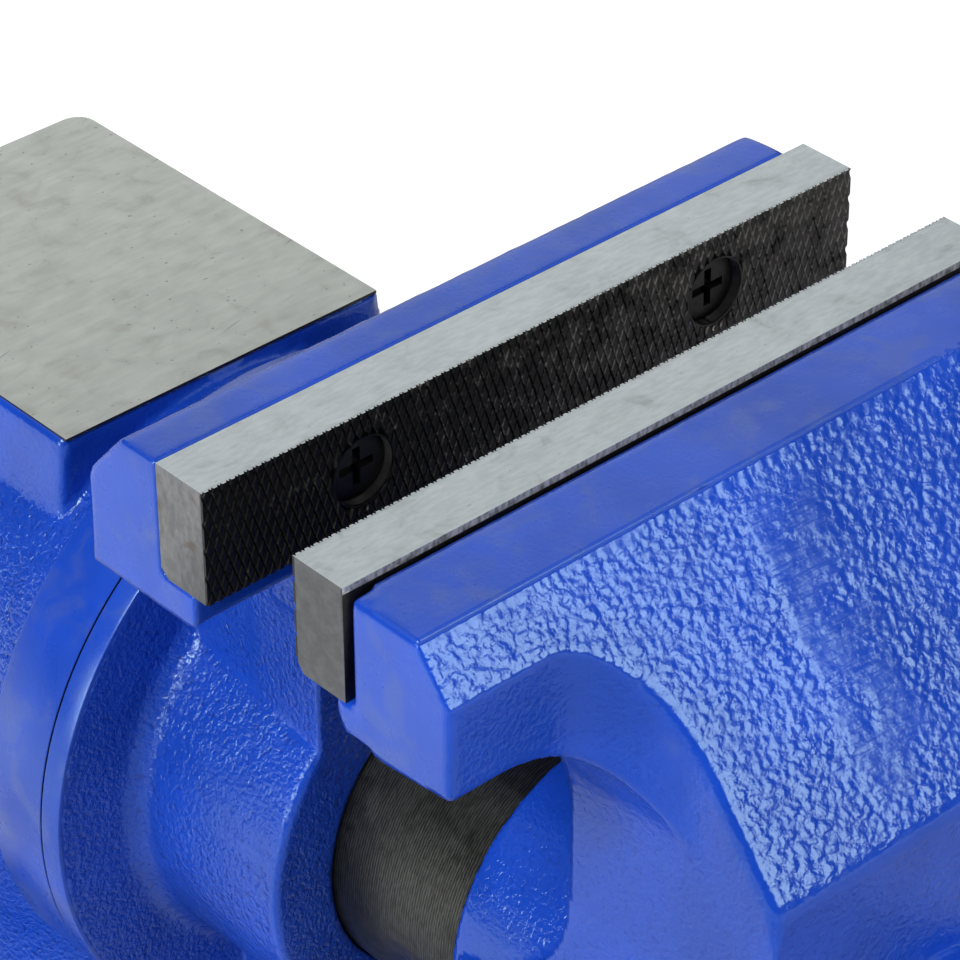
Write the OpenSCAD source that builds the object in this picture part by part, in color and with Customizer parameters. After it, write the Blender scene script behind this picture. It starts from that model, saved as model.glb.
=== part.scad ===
// Swivel bench vise with a rotating head, a round slide bar and an anvil on its body.
// The origin is the swivel axis on the bench. +Y points to the back, the jaws lie along X.

/* [Jaws] */
// Length of the jaw plates
jaw_w = 150; // [120:1:170]
// Thickness of a jaw plate
plate_t = 12; // [10:0.5:15]
// Height of a jaw plate
plate_h = 22.5; // [20:0.5:25]
// Chamfer on one lower edge of a jaw plate
plate_chamfer = 1.8; // [1:0.2:4]
// Distance of a plate screw from the middle of the jaw
plate_screw_x = 41; // [30:1:52]
// Depth of a plate screw below the top of the jaw
plate_screw_z = 11.5; // [10:0.5:13]
// Opening between the jaw faces as drawn
jaw_gap = 22.4; // [8:0.1:60]
// Widest opening of the jaws
jaw_open = 150; // [100:1:155]
// Height of the jaw tops above the screw axis
jaw_rise = 116; // [112:1:122]
// Width of the cast jaws
casting_w = 145; // [120:1:150]
// Sideways shift of the cast jaws against the plates
casting_shift = -2.5; // [-4:0.5:4]
// Height of the cast jaw bars
jaw_h = 29.5; // [28:0.5:33]
// Depth of the fixed jaw behind its face
jaw_depth = 31; // [28:0.5:35]
// Width of the flat on top of the fixed jaw
jaw_flat = 9.5; // [7:0.5:12]
// Drop of the bevel behind that flat
jaw_bevel = 10.8; // [8:0.2:14]
// Set-back of the fixed ledge below its plate
ledge_in = 3.5; // [2:0.5:6]

/* [Movable jaw] */
// Height by which the movable plate stands above its casting
plate_proud = 1; // [0.5:0.1:2]
// Width of the groove between the plate and the painted flat
groove_w = 1.2; // [0.8:0.1:2]
// Radius of the pads behind the plate, around its screws
pad_r = 8; // [6:0.5:10]
// Set-back of the movable ledge below its plate
front_ledge_in = 9.8; // [8:0.2:11]
// Width of the painted flat on top of the movable jaw
front_flat = 16.1; // [13:0.1:18]
// Distance from the jaw face to the front wall of the jaw bar
front_wall = 36.6; // [34:0.2:39]
// Distance from the jaw face to the front of the neck
neck_front = 70.6; // [64:0.2:76]
// Distance from the jaw face to the back of the neck
neck_back = 22.4; // [20:0.2:24]
// Slope of the front, drop per unit of depth
front_slope = 1.268; // [1.1:0.01:1.4]
// Width of the neck
neck_w = 72; // [70:1:80]
// Radius of the hollow between jaw bar and neck, seen from above
plan_hollow = 19; // [14:0.5:24]
// Radius of the hollow below the jaw bar, seen from the front
under_hollow = 29; // [18:0.5:32]
// Rise of the jaw bar's underside towards the front, in degrees
under_tilt = 5.5; // [0:0.5:8]
// Radius of the curve by which the neck's back runs out to the bar
saddle_r = 33; // [26:0.5:36]
// Length of the boss that the screw turns on
boss_l = 6; // [4:0.5:10]
// Radius of that boss
boss_r = 32; // [28:0.5:35]

/* [Slide bar] */
// Radius of the slide bar
bar_r = 35; // [33:0.5:37]
// Radius of the hollow in the slide bar
bar_hollow_r = 25; // [24:0.5:27]
// Length of the painted, unmachined stretch of the bar from the jaw face
bar_cast_l = 8; // [6:0.5:14]
// Depth to which the bar is turned down from its cast skin
bar_skim = 0.4; // [0.2:0.1:0.8]
// Thickness of the wall that carries the screw
screw_wall = 32; // [26:1:38]
// Width of the guide key
key_w = 10; // [8:0.5:14]
// Length of the guide key
key_l = 24; // [16:1:24]
// Depth of the keyway
keyway_d = 5; // [4:0.5:6]

/* [Rotating head] */
// Distance from the fixed jaw face back to the front of the hub
hub_face = 18.8; // [17:0.2:21]
// Radius of the hub
hub_r = 49; // [47:0.5:53]
// Radius of the fillet between hub and flange
hub_fillet = 4.5; // [3:0.5:8]
// Distance from the fixed jaw face back to the flange
flange_face = 58.6; // [54:0.2:62]
// Radius of the flange
flange_r = 68; // [64:0.5:72]
// Thickness of the flange
flange_t = 5.1; // [4:0.1:8]
// Radius of the sleeve that turns in the body
sleeve_r = 50; // [48:0.5:53]
// Width of the neck below the fixed jaw
head_neck_w = 75; // [66:1:80]
// Taper of that neck towards the flange, on each side
head_neck_taper = 3.5; // [2:0.5:6]
// Radius of the hollows below the fixed jaw
head_hollow = 10; // [6:0.5:16]

/* [Pipe jaws] */
// Width of a pipe jaw
pipe_w = 40; // [32:1:46]
// Height of a pipe jaw
pipe_h = 40; // [34:1:44]
// Depth of the middle of the pipe jaws below the screw axis
pipe_drop = 63; // [61:1:66]
// Set-back of the pipe jaws from the plane of the jaw faces
pipe_setback = 2; // [1:0.5:4]
// Depth of the V in a pipe jaw
pipe_v = 8; // [6:0.5:9]
// Teeth on each flank of the V
pipe_teeth = 6; // [4:1:8]
// Height of a tooth
tooth_h = 1.2; // [0.8:0.1:1.6]
// Distance of a pipe jaw screw from the middle
pipe_screw_x = 11; // [8:0.5:14]

/* [Body] */
// Height of the screw axis above the bench
axis_z = 160; // [155:1:180]
// Distance from the swivel axis forward to the fixed jaw face
jaw_reach = 125; // [120:1:132]
// Width of the seam between flange and body
seam_gap = 0.4; // [0.3:0.1:0.8]
// Length of the body's barrel
body_l = 123; // [118:1:130]
// Length of the smooth collar behind the seam
collar_l = 16; // [13:0.5:18]
// Radius of the barrel behind the collar
barrel_r = 62; // [60:0.5:64]
// Length of the anvil
anvil_l = 94; // [80:1:96]
// Width of the anvil face
anvil_w = 77.5; // [70:0.5:84]
// Height of the anvil face above the screw axis
anvil_h = 64.5; // [64:0.5:68]
// Distance from the fixed jaw face back to the anvil
anvil_from = 89; // [86:0.5:92]
// Spread of the anvil's sides, outward per unit of drop
anvil_spread = 0.1; // [0.02:0.01:0.2]
// Radius of the foot that turns on the base
foot_r = 86; // [84.5:0.5:90]
// Thickness of the foot
foot_t = 16; // [12:1:20]
// Radius of the pedestal's waist
waist_r = 43; // [38:1:48]
// Height of the pedestal's waist above the bench
waist_z = 86; // [78:1:92]

/* [Swivel base] */
// Radius of the base disc
base_r = 95; // [92:0.5:100]
// Thickness of the base disc
base_t = 24; // [22:1:28]
// Diameter of the circle of mounting holes
lug_pcd = 200; // [190:1:220]
// Radius of a mounting lug
lug_r = 19; // [16:0.5:22]
// Thickness of a mounting lug
lug_t = 16; // [12:1:18]
// Radius of a mounting hole
mount_hole_r = 6.75; // [5.5:0.25:8]
// Radius of the T-groove's middle
groove_at = 74; // [72.5:0.5:75]
// Thickness of the lips over the T-groove
groove_lip = 9; // [8:0.5:11]
// Height of the T-groove's undercut
groove_h = 9; // [8:0.5:11]
// Radius of the pivot on the base
pivot_r = 22; // [18:0.5:28]
// Height of the pivot
pivot_h = 10; // [6:0.5:13]

/* [Screw and handle] */
// Radius of the main screw
screw_r = 13; // [11:0.5:14]
// Radius of the screw's journal in the movable jaw
journal_r = 15; // [14.5:0.5:17]
// Radius of the screw's head
head_r = 21; // [19:0.5:25]
// Length of the screw's head
head_l = 46; // [40:1:54]
// Thickness of the thrust washer
thrust_t = 3.5; // [2.5:0.5:5]
// Length of thread left in the nut at the widest opening
nut_grip = 28; // [20:1:34]
// Wall of the main nut
nut_wall = 8; // [6:0.5:9]
// Depth of the hollow in the rear cover
cover_depth = 53; // [48:1:60]
// Thickness of the rear cover's end
cover_t = 10; // [8:0.5:14]
// Radius of the rear cover
cover_r = 58; // [56:0.5:62]
// Length of the handle bar
handle_l = 240; // [180:1:260]
// Radius of the handle bar
handle_r = 8; // [6:0.5:9]
// Radius of a handle cap
cap_r = 13; // [11:0.5:15]

/* [Locks] */
// Radius of a swivel lock bolt
lock_bolt_r = 6; // [5:0.5:6.5]
// Radius of a lock lever's hub
lever_hub_r = 13; // [11:0.5:14]
// Height of a lock lever's hub
lever_hub_h = 22; // [18:1:28]
// Length of a lever arm from its pivot
lever_l = 74; // [60:1:85]
// Radius of a lever arm
lever_r = 5; // [4:0.5:6]
// Radius of a lever knob
knob_r = 10; // [8:0.5:12]
// Distance of the head lock behind the swivel axis
head_lock_y = 22; // [10:1:26]
// Angle of the head lock below the horizontal, in degrees
head_lock_angle = 30; // [20:1:40]
// Radius of the head lock's stud
stud_r = 8; // [6:0.5:9]

/* [Fits] */
// Radial clearance of a running fit
run_fit = 0.05; // [0.02:0.01:0.1]
// Gap between flat faces that turn or slide on each other
face_gap = 0.3; // [0.1:0.05:0.4]
// Radial clearance of a screw in its tapped hole
tap_gap = 0.1; // [0.05:0.05:0.2]

/* [Hidden] */
$fn = 96;

paint = "royalblue";
steel = "silver";
black = [0.15, 0.15, 0.16];

// Stations along the clamping axis
face_y = -jaw_reach;
mov_y = face_y - jaw_gap;
hub_y = face_y + hub_face;
flange_y = face_y + flange_face;
seam_y = flange_y + flange_t;
body_y = seam_y + seam_gap;
body_end = body_y + body_l;
sleeve_end = body_end + face_gap;
cover_floor = sleeve_end + cover_depth;
cover_end = cover_floor + cover_t;
top_z = axis_z + jaw_rise;

// Bar and screw reach to the rear cover when the jaws meet
end_gap = 2;
bar_l = cover_floor - end_gap - face_y;
screw_l = cover_end - 2 * end_gap - face_y;
nut_front = face_y + screw_l - jaw_open - nut_grip;
nut_flange_t = 8;
nut_r = screw_r + nut_wall;
nut_flange_r = nut_r + 12;
key_y = seam_y + 2;
bar_bore_r = bar_r + run_fit;

// Front end of the screw
hollow_front = mov_y - neck_front + screw_wall;
boss_y = mov_y - neck_front - boss_l;
head_back = boss_y - thrust_t - face_gap;
handle_y = head_back - 0.56 * head_l;
saddle_rise = 5;
collar_y = hollow_front + face_gap;
collar_t = 12;
collar_r = bar_hollow_r - 2;

// Small overlap that a cut runs past a face
cut = 1;
// Radial clearance of a screw in a plain hole
hole_gap = 0.4;

// Plate screws
plate_screw_r = 4;
plate_sink_r = 6.5;
plate_sink_d = 6.5;
plate_head_r = plate_sink_r - 0.3;
plate_head_h = 4.5;
plate_bite = 11;
tap_extra = 2;

// Pipe jaws
pipe_screw_r = 2.5;
pipe_bite = 14;
pipe_back = hub_face;
pipe_root = pipe_setback + pipe_v;
pipe_sink = pipe_root + 4;
root_half = 2;
tip_half = pipe_h / 2 - 3;
arm_drop = pipe_drop + pipe_h / 2 + 5;
arm_w = pipe_w + 12;
arm_from = bar_r + 4;

// Foot and locks
foot_z = base_t + face_gap;
foot_top = foot_z + foot_t;
ear_h = 4;
ear_r = lever_hub_r + 4;
washer_t = 2.5;
washer_z = foot_top + ear_h;
lever_z = washer_z + washer_t + face_gap;
groove_top = base_t - groove_lip;
groove_floor = groove_top - groove_h;
groove_slot = lock_bolt_r + 0.7;
bolt_head = 20;
bolt_play = 0.5;
bolt_z = groove_floor + bolt_play;
groove_half = bolt_head / 2 + 1.5;
entry_r = bolt_head / sqrt(2) + bolt_play;
relief_r = groove_at - groove_half - 8;
relief_h = 4;
lever_rise = 14;
lever_bore = lever_hub_h - 4;
left_turn = 130;
right_turn = 50;
lock_boss_r = stud_r + 8;
lock_boss_at = barrel_r + 16;
shoe_t = 5;

function corner(a, b, c, r, n) =
    let (
        u = (a - b) / norm(a - b),
        v = (c - b) / norm(c - b),
        half = acos(u * v) / 2,
        p = b + u * r / tan(half),
        q = b + v * r / tan(half),
        o = b + (u + v) / norm(u + v) * r / sin(half),
        from = atan2(p.y - o.y, p.x - o.x),
        turn = (atan2(q.y - o.y, q.x - o.x) - from + 540) % 360 - 180
    )
    r == 0 ? [b] : [for (i = [0:n]) o + r * [cos(from + turn * i / n), sin(from + turn * i / n)]];

// Outline through points [x, y, radius], with an arc at each corner that has a radius
function rounded(pts, n = 6) =
    let (count = len(pts))
    [for (i = [0:count - 1])
        let (a = pts[(i + count - 1) % count], b = pts[i], c = pts[(i + 1) % count])
        each corner([a.x, a.y], [b.x, b.y], [c.x, c.y], b.z, n)];

// Points on an arc about o
function arc(o, r, from, to, n = 8) =
    [for (i = [0:n]) let (a = from + (to - from) * i / n) o + r * [cos(a), sin(a)]];

// Turns a profile [radius, y] about the screw axis
module revolved(pts) {
    translate([0, 0, axis_z]) rotate([-90, 0, 0]) rotate_extrude() polygon(pts);
}

// Round bar or hole on the screw axis, from one station to another
module axial(r, from, to) {
    translate([0, from, axis_z]) rotate([-90, 0, 0]) cylinder(r = r, h = to - from);
}

// Outline in [y, z] drawn out along X about the middle, from a jaw face and the jaw tops
module side_slab(y, w, shift = 0) {
    translate([shift - w / 2, y, top_z]) rotate([90, 0, 90]) linear_extrude(w) children();
}

// Outline in [x, z] drawn out along Y
module front_slab(from, to) {
    translate([0, to, 0]) rotate([90, 0, 0]) linear_extrude(to - from) children();
}

// Concave fillet between a wall left of the origin and a floor below it
module hollow(r) {
    into = 2;
    difference() {
        translate([-into, -into]) square(r + into);
        translate([r, r]) circle(r);
    }
}

// Cross recess in a screw head, cut into the XY plane from above
module cross_recess(size, depth) {
    w = size / 4.5;
    for (a = [0, 90]) {
        rotate(a) translate([-size / 2, -w / 2, -depth]) cube([size, w, depth + cut]);
    }
}

// Screw with a low round head, its head's underside at the origin and its shank along -Z
module round_screw(r, l, head_r, head_h) {
    difference() {
        union() {
            translate([0, 0, -l]) cylinder(r = r, h = l);
            cylinder(r = head_r, h = head_h);
        }
        translate([0, 0, head_h]) cross_recess(1.2 * head_r, head_h / 2);
    }
}

// Screw with a socket in its round head, its head's underside at the origin
function socket_head_r(r) = 1.6 * r;
module socket_screw(r, l) {
    head_h = 1.8 * r;
    difference() {
        union() {
            translate([0, 0, -l]) cylinder(r = r, h = l);
            cylinder(r = socket_head_r(r), h = head_h);
        }
        translate([0, 0, head_h / 2]) cylinder(r = 0.9 * r, h = head_h, $fn = 6);
    }
}

// Places something at each of two screws, with its Z axis into the jaw
module at_screws(x, y, z) {
    for (side = [-1, 1]) {
        translate([side * x, y, z]) rotate([-90, 0, 0]) children();
    }
}

// Jaw plate with its face at y = 0 and its top at z = 0, backwards along +Y
module jaw_plate(chamfer_back) {
    far = chamfer_back ? plate_t : 0;
    near = plate_t - far;
    inward = chamfer_back ? -plate_chamfer : plate_chamfer;
    difference() {
        translate([-jaw_w / 2, 0, 0]) rotate([90, 0, 90]) linear_extrude(jaw_w)
            polygon([[near, 0], [far, 0], [far, plate_chamfer - plate_h],
                [far + inward, -plate_h], [near, -plate_h]]);
        at_screws(plate_screw_x, -cut, -plate_screw_z) {
            cylinder(r = plate_sink_r, h = plate_sink_d + cut);
            cylinder(r = plate_screw_r + hole_gap, h = plate_t + 2 * cut);
        }
    }
}

module plate_screws() {
    l = plate_t - plate_sink_d + plate_bite;
    at_screws(plate_screw_x, plate_sink_d, -plate_screw_z) rotate([180, 0, 0])
        round_screw(plate_screw_r, l, plate_head_r, plate_head_h);
}

// Tapped holes for the plate screws behind a plate
module plate_taps() {
    at_screws(plate_screw_x, plate_t - cut, -plate_screw_z)
        cylinder(r = plate_screw_r + tap_gap, h = plate_bite + tap_extra + cut);
}

// Flank of the V from tip to root, notched into teeth
function flank(side) =
    let (
        tip = [pipe_setback, side * tip_half],
        root = [pipe_root, side * root_half],
        along = root - tip,
        inward = [abs(along.y), side * along.x] / norm(along),
        crest = 0.8
    )
    [for (i = [0:pipe_teeth - 1])
        each [tip + along * i / pipe_teeth,
            tip + along * (i + crest) / pipe_teeth + inward * tooth_h]];

// Pipe jaw with its V towards -Y, in the frame of a jaw face and its V's middle height
module pipe_jaw() {
    upper = flank(1);
    lower = flank(-1);
    turned = [for (i = [len(lower) - 1:-1:0]) lower[i]];
    top = pipe_h / 2;
    difference() {
        translate([-pipe_w / 2, 0, 0]) rotate([90, 0, 90]) linear_extrude(pipe_w)
            polygon(concat([[pipe_back, -top], [pipe_back, top], [pipe_setback, top]],
                upper, [[pipe_root, root_half], [pipe_root, -root_half]],
                turned, [[pipe_setback, -top]]));
        at_screws(pipe_screw_x, 0, 0) {
            cylinder(r = socket_head_r(pipe_screw_r) + hole_gap, h = pipe_sink);
            cylinder(r = pipe_screw_r + hole_gap, h = pipe_back + cut);
        }
    }
}

module pipe_screws() {
    at_screws(pipe_screw_x, pipe_sink, 0) rotate([180, 0, 0])
        socket_screw(pipe_screw_r, pipe_back - pipe_sink + pipe_bite);
}

module pipe_taps() {
    at_screws(pipe_screw_x, pipe_back - cut, 0)
        cylinder(r = pipe_screw_r + tap_gap, h = pipe_bite + tap_extra + cut);
}

// Frames of the two jaw faces: the movable one looks back at the fixed one
module at_fixed_face() {
    translate([0, face_y, top_z]) children();
}
module at_movable_face() {
    translate([0, mov_y, top_z]) mirror([0, 1, 0]) children();
}
module at_pipe_height() {
    translate([0, 0, -jaw_rise - pipe_drop]) children();
}

// Side view of the fixed jaw with its neck
module fixed_jaw_outline() {
    neck_end = flange_face + cut;
    polygon(rounded([
        [plate_t, 0, 0],
        [plate_t + jaw_flat, 0, 3],
        [jaw_depth, -jaw_bevel, 4],
        [jaw_depth, -jaw_h + 4, 6],
        [neck_end, flange_r - jaw_rise - 6, 0],
        [neck_end, -jaw_rise, 0],
        [hub_face, -jaw_rise, 0],
        [hub_face, -jaw_h, 3],
        [ledge_in, -jaw_h, 2],
        [ledge_in, -plate_h, 0],
        [plate_t, -plate_h, 0]]));
}

// View of the fixed jaw from above
module fixed_jaw_plan() {
    half = head_neck_w / 2;
    slim = half - head_neck_taper;
    neck_end = flange_face + cut;
    translate([casting_shift - casting_w / 2, face_y]) square([casting_w, jaw_depth]);
    translate([0, face_y]) polygon(rounded([
        [-half, hub_face, 3],
        [half, hub_face, 3],
        [slim, neck_end, 0],
        [-slim, neck_end, 0]]));
}

// View of the fixed jaw from the front
module fixed_jaw_front() {
    half = head_neck_w / 2;
    translate([casting_shift - casting_w / 2, top_z - jaw_h]) square([casting_w, jaw_h]);
    translate([-half, axis_z]) square([2 * half, jaw_rise - jaw_h / 2]);
    for (side = [0, 1]) {
        mirror([side, 0]) translate([half - head_neck_taper / 2, top_z - jaw_h])
            mirror([0, 1]) hollow(head_hollow);
    }
}

// Arm below the hub that carries the fixed pipe jaw, in side view
module fixed_arm_outline() {
    arm_end = flange_face + cut;
    polygon(rounded([
        [hub_face, -jaw_rise - arm_from, 0],
        [hub_face, -jaw_rise - arm_drop, 3],
        [hub_face + 24, -jaw_rise - arm_drop, 8],
        [arm_end, -jaw_rise - flange_r + 8, 0],
        [arm_end, -jaw_rise - arm_from, 0]]));
}

module rotating_head() {
    edge = 0.5;
    color(paint) difference() {
        union() {
            intersection() {
                side_slab(face_y, casting_w + 2 * abs(casting_shift)) fixed_jaw_outline();
                linear_extrude(top_z + cut) fixed_jaw_plan();
                front_slab(face_y, flange_y + cut) fixed_jaw_front();
            }
            side_slab(face_y, arm_w) fixed_arm_outline();
            revolved(rounded([
                [bar_bore_r, hub_y, 0],
                [hub_r, hub_y, 1.5],
                [hub_r, flange_y, hub_fillet],
                [flange_r, flange_y, edge],
                [flange_r, seam_y, edge],
                [sleeve_r, seam_y, 0],
                [sleeve_r, sleeve_end, 0],
                [bar_bore_r, sleeve_end, 0]]));
        }
        axial(bar_bore_r, hub_y - cut, sleeve_end + cut);
        at_fixed_face() plate_taps();
        at_fixed_face() at_pipe_height() pipe_taps();
        key_pocket();
        cover_holes(sleeve_end - cover_bite - tap_extra, sleeve_end + cut, cover_screw_r + tap_gap);
    }
}

module fixed_jaw_plate() {
    color(steel) at_fixed_face() jaw_plate(true);
}

module fixed_plate_screws() {
    color(black) at_fixed_face() plate_screws();
}

module fixed_pipe_jaw() {
    color(black) at_fixed_face() at_pipe_height() pipe_jaw();
}

module fixed_pipe_screws() {
    color(black) at_fixed_face() at_pipe_height() pipe_screws();
}

// Key below the bar, let into the sleeve
key_out = bar_r + 4.5;
key_in = bar_r - keyway_d + 0.5;
key_screw_r = 2.5;
key_sink_r = 2 * key_screw_r;
key_sink_d = 4;
key_bite = 5;
key_mid = key_y + key_l / 2;
module key_pocket() {
    translate([-key_w / 2, key_y, axis_z - key_out]) cube([key_w, key_l, key_out]);
    translate([0, key_mid, axis_z - sleeve_r - cut]) {
        cylinder(r = key_screw_r + hole_gap, h = sleeve_r - key_in);
        cylinder(r = key_sink_r, h = key_sink_d + cut);
    }
}

module guide_key() {
    color(steel) difference() {
        translate([-key_w / 2, key_y, axis_z - key_out]) cube([key_w, key_l, key_out - key_in]);
        translate([0, key_mid, axis_z - key_out - cut])
            cylinder(r = key_screw_r + tap_gap, h = key_bite + 2 * cut);
    }
}

module key_screw() {
    l = sleeve_r - key_sink_d - key_out + key_bite;
    color(black) translate([0, key_mid, axis_z - sleeve_r + key_sink_d]) rotate([180, 0, 0])
        round_screw(key_screw_r, l, key_sink_r - hole_gap, key_sink_d - 1);
}

// Places something at screws spaced evenly about the clamping axis, its Z axis to the back
module around_axis(count, r, y) {
    for (i = [0:count - 1]) {
        translate([0, y, axis_z]) rotate([0, 360 * (i + 0.5) / count, 0]) translate([0, 0, r])
            rotate([-90, 0, 0]) children();
    }
}

// Screws that hold the rear cover to the sleeve
cover_screw_r = 3;
cover_bite = 14;
cover_sink = 8;
cover_screw_count = 6;
cover_pitch_r = (bar_r + sleeve_r) / 2 + 0.5;
module cover_holes(from, to, r) {
    around_axis(cover_screw_count, cover_pitch_r, from) cylinder(r = r, h = to - from);
}

// Screws that hold the nut to the rear cover
nut_screw_r = 3;
nut_screw_count = 4;
nut_pitch_r = nut_r + 6;
module nut_holes(from, to, r) {
    around_axis(nut_screw_count, nut_pitch_r, from) cylinder(r = r, h = to - from);
}

module rear_cover() {
    rim_t = 10;
    rim_step = 4;
    slim = cover_r - rim_step;
    cavity_r = bar_r + 1.5;
    color(paint) difference() {
        revolved(rounded([
            [nut_r, sleeve_end, 0],
            [cover_r, sleeve_end, 1],
            [cover_r, sleeve_end + rim_t, 3],
            [slim, sleeve_end + rim_t + rim_step, 3],
            [slim, cover_end, 8],
            [nut_r, cover_end, 0]]));
        axial(cavity_r, sleeve_end - cut, cover_floor);
        cover_holes(sleeve_end - cut, cover_end + cut, cover_screw_r + hole_gap);
        cover_holes(cover_end - cover_sink, cover_end + cut, socket_head_r(cover_screw_r) + hole_gap);
        nut_holes(cover_floor - cut, cover_end + cut, nut_screw_r + tap_gap);
    }
}

module cover_screws() {
    l = cover_end - cover_sink - sleeve_end + cover_bite;
    color(black) around_axis(cover_screw_count, cover_pitch_r, cover_end - cover_sink)
        socket_screw(cover_screw_r, l);
}

// Long nut inside the hollow bar, closed at its rear flange
module main_nut() {
    nut_end = cover_end + nut_flange_t;
    color("darkgoldenrod") difference() {
        revolved(rounded([
            [0, nut_front, 0],
            [nut_r, nut_front, 2],
            [nut_r, cover_end, 0],
            [nut_flange_r, cover_end, 0],
            [nut_flange_r, nut_end, 2],
            [0, nut_end, 0]]));
        axial(screw_r + run_fit, nut_front - cut, cover_end);
        nut_holes(cover_end - cut, nut_end + cut, nut_screw_r + hole_gap);
    }
}

module nut_screws() {
    l = nut_flange_t + cover_t - 1;
    color(black) around_axis(nut_screw_count, nut_pitch_r, cover_end + nut_flange_t)
        socket_screw(nut_screw_r, l);
}

// Height of the sloping front at a depth below the movable jaw face
function front_z(y) = -plate_proud - front_slope * (y - plate_t - groove_w - front_flat);

// Side view of the movable jaw with its neck and the arm of its pipe jaw, seen from its face
module movable_jaw_outline() {
    flat_at = plate_t + groove_w;
    foot = -jaw_rise - arm_drop;
    saddle_o = [neck_back - saddle_r, -jaw_rise + saddle_rise + saddle_r];
    saddle = arc(saddle_o, saddle_r, -82, 0);
    polygon(rounded([
        [flat_at, -plate_h, 0],
        [flat_at, -plate_proud, 0],
        [flat_at + front_flat, -plate_proud, 2],
        [neck_front, front_z(neck_front), 4],
        [neck_front, -jaw_rise - bar_r, 14],
        [neck_front - 18, foot, 8],
        [pipe_back, foot, 3],
        [pipe_back, -jaw_rise - arm_from, 4],
        [saddle[0].x, -jaw_rise - bar_r / 2, 6],
        each [for (p = saddle) [p.x, p.y, 0]],
        [neck_back, -jaw_h, 3],
        [plate_t, -jaw_h, 3],
        [front_ledge_in, -jaw_h + 4.5, 2],
        [front_ledge_in, -plate_h, 0]]));
}

// View of the movable jaw from above, from its face
module movable_jaw_plan() {
    half = neck_w / 2;
    end = casting_w / 2;
    edge = 1.2;
    translate([casting_shift, 0])
        polygon(rounded([[-end, 0, 0], [end, 0, 0], [end, front_wall, edge], [-end, front_wall, edge]]));
    translate([-half, -bar_cast_l]) square([2 * half, neck_front + bar_cast_l]);
    for (side = [0, 1]) {
        mirror([side, 0]) translate([half, front_wall]) hollow(plan_hollow);
    }
}

// View of the movable jaw from the front
module movable_jaw_front() {
    half = neck_w / 2;
    arm = arm_w / 2;
    foot = -jaw_rise - arm_drop;
    shoulder = foot + 20;
    hip = -jaw_rise - 20;
    translate([casting_shift - casting_w / 2, -jaw_h]) square([casting_w, 2 * jaw_h]);
    polygon(rounded([
        [-half, jaw_h, 0],
        [half, jaw_h, 0],
        [half, hip, 12],
        [arm, shoulder, 12],
        [arm, foot - jaw_h, 0],
        [-arm, foot - jaw_h, 0],
        [-arm, shoulder, 12],
        [-half, hip, 12]]));
    for (side = [0, 1]) {
        mirror([side, 0]) translate([half, -jaw_h]) mirror([0, 1]) hollow(under_hollow);
    }
}

// The casting is what its three views have in common
module movable_casting() {
    reach = 2 * neck_front;
    intersection() {
        translate([-casting_w, 0, 0]) rotate([90, 0, 90]) linear_extrude(2 * casting_w)
            movable_jaw_outline();
        translate([0, 0, -2 * jaw_rise]) linear_extrude(3 * jaw_rise) movable_jaw_plan();
        translate([0, neck_back, -jaw_h]) rotate([under_tilt, 0, 0]) translate([0, reach, jaw_h])
            rotate([90, 0, 0]) linear_extrude(2 * reach) movable_jaw_front();
    }
    at_screws(plate_screw_x, plate_t, -plate_screw_z) cylinder(r = pad_r, h = groove_w + cut);
}

module movable_jaw() {
    keyway_w = key_w + 0.4;
    color(paint) difference() {
        union() {
            at_movable_face() movable_casting();
            axial(boss_r, boss_y, mov_y - neck_front + 8);
            axial(bar_r + bar_skim, mov_y - neck_front / 2, mov_y + bar_cast_l);
            axial(bar_r, mov_y, mov_y + bar_l);
        }
        axial(bar_hollow_r, hollow_front, mov_y + bar_l + cut);
        axial(journal_r + run_fit, boss_y - cut, hollow_front + cut);
        translate([-keyway_w / 2, mov_y + key_y - face_y - 3, axis_z - bar_r - cut])
            cube([keyway_w, bar_l, keyway_d + cut]);
        at_movable_face() plate_taps();
        at_movable_face() at_pipe_height() pipe_taps();
    }
}

module movable_jaw_plate() {
    color(steel) at_movable_face() jaw_plate(false);
}

module movable_plate_screws() {
    color(black) at_movable_face() plate_screws();
}

module movable_pipe_jaw() {
    color(black) at_movable_face() at_pipe_height() pipe_jaw();
}

module movable_pipe_screws() {
    color(black) at_movable_face() at_pipe_height() pipe_screws();
}

// Screw with a journal in the jaw's wall and a drilled head for the handle
module main_screw() {
    head_front = head_back - head_l;
    flare = 5;
    flare_t = 6;
    run_out = 2;
    screw_end = mov_y + screw_l;
    color(steel) difference() {
        revolved(rounded([
            [0, head_front, 0],
            [head_r - 3, head_front, 4],
            [head_r, head_front + 8, 3],
            [head_r, head_back - flare_t - 2, 2],
            [head_r + flare, head_back - flare_t, 1],
            [head_r + flare, head_back, 0],
            [journal_r, head_back, 0],
            [journal_r, collar_y + collar_t, 0],
            [screw_r, collar_y + collar_t + run_out, 0],
            [screw_r, screw_end - run_out, 0],
            [screw_r - run_out, screw_end, 0],
            [0, screw_end, 0]]));
        translate([-2 * head_r, handle_y, axis_z]) rotate([0, 90, 0])
            cylinder(r = handle_r + run_fit, h = 4 * head_r);
        pin_hole();
    }
}

module thrust_washer() {
    color("goldenrod") difference() {
        axial(head_r + 6, boss_y - thrust_t, boss_y);
        axial(journal_r + run_fit, boss_y - thrust_t - cut, boss_y + cut);
    }
}

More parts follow.
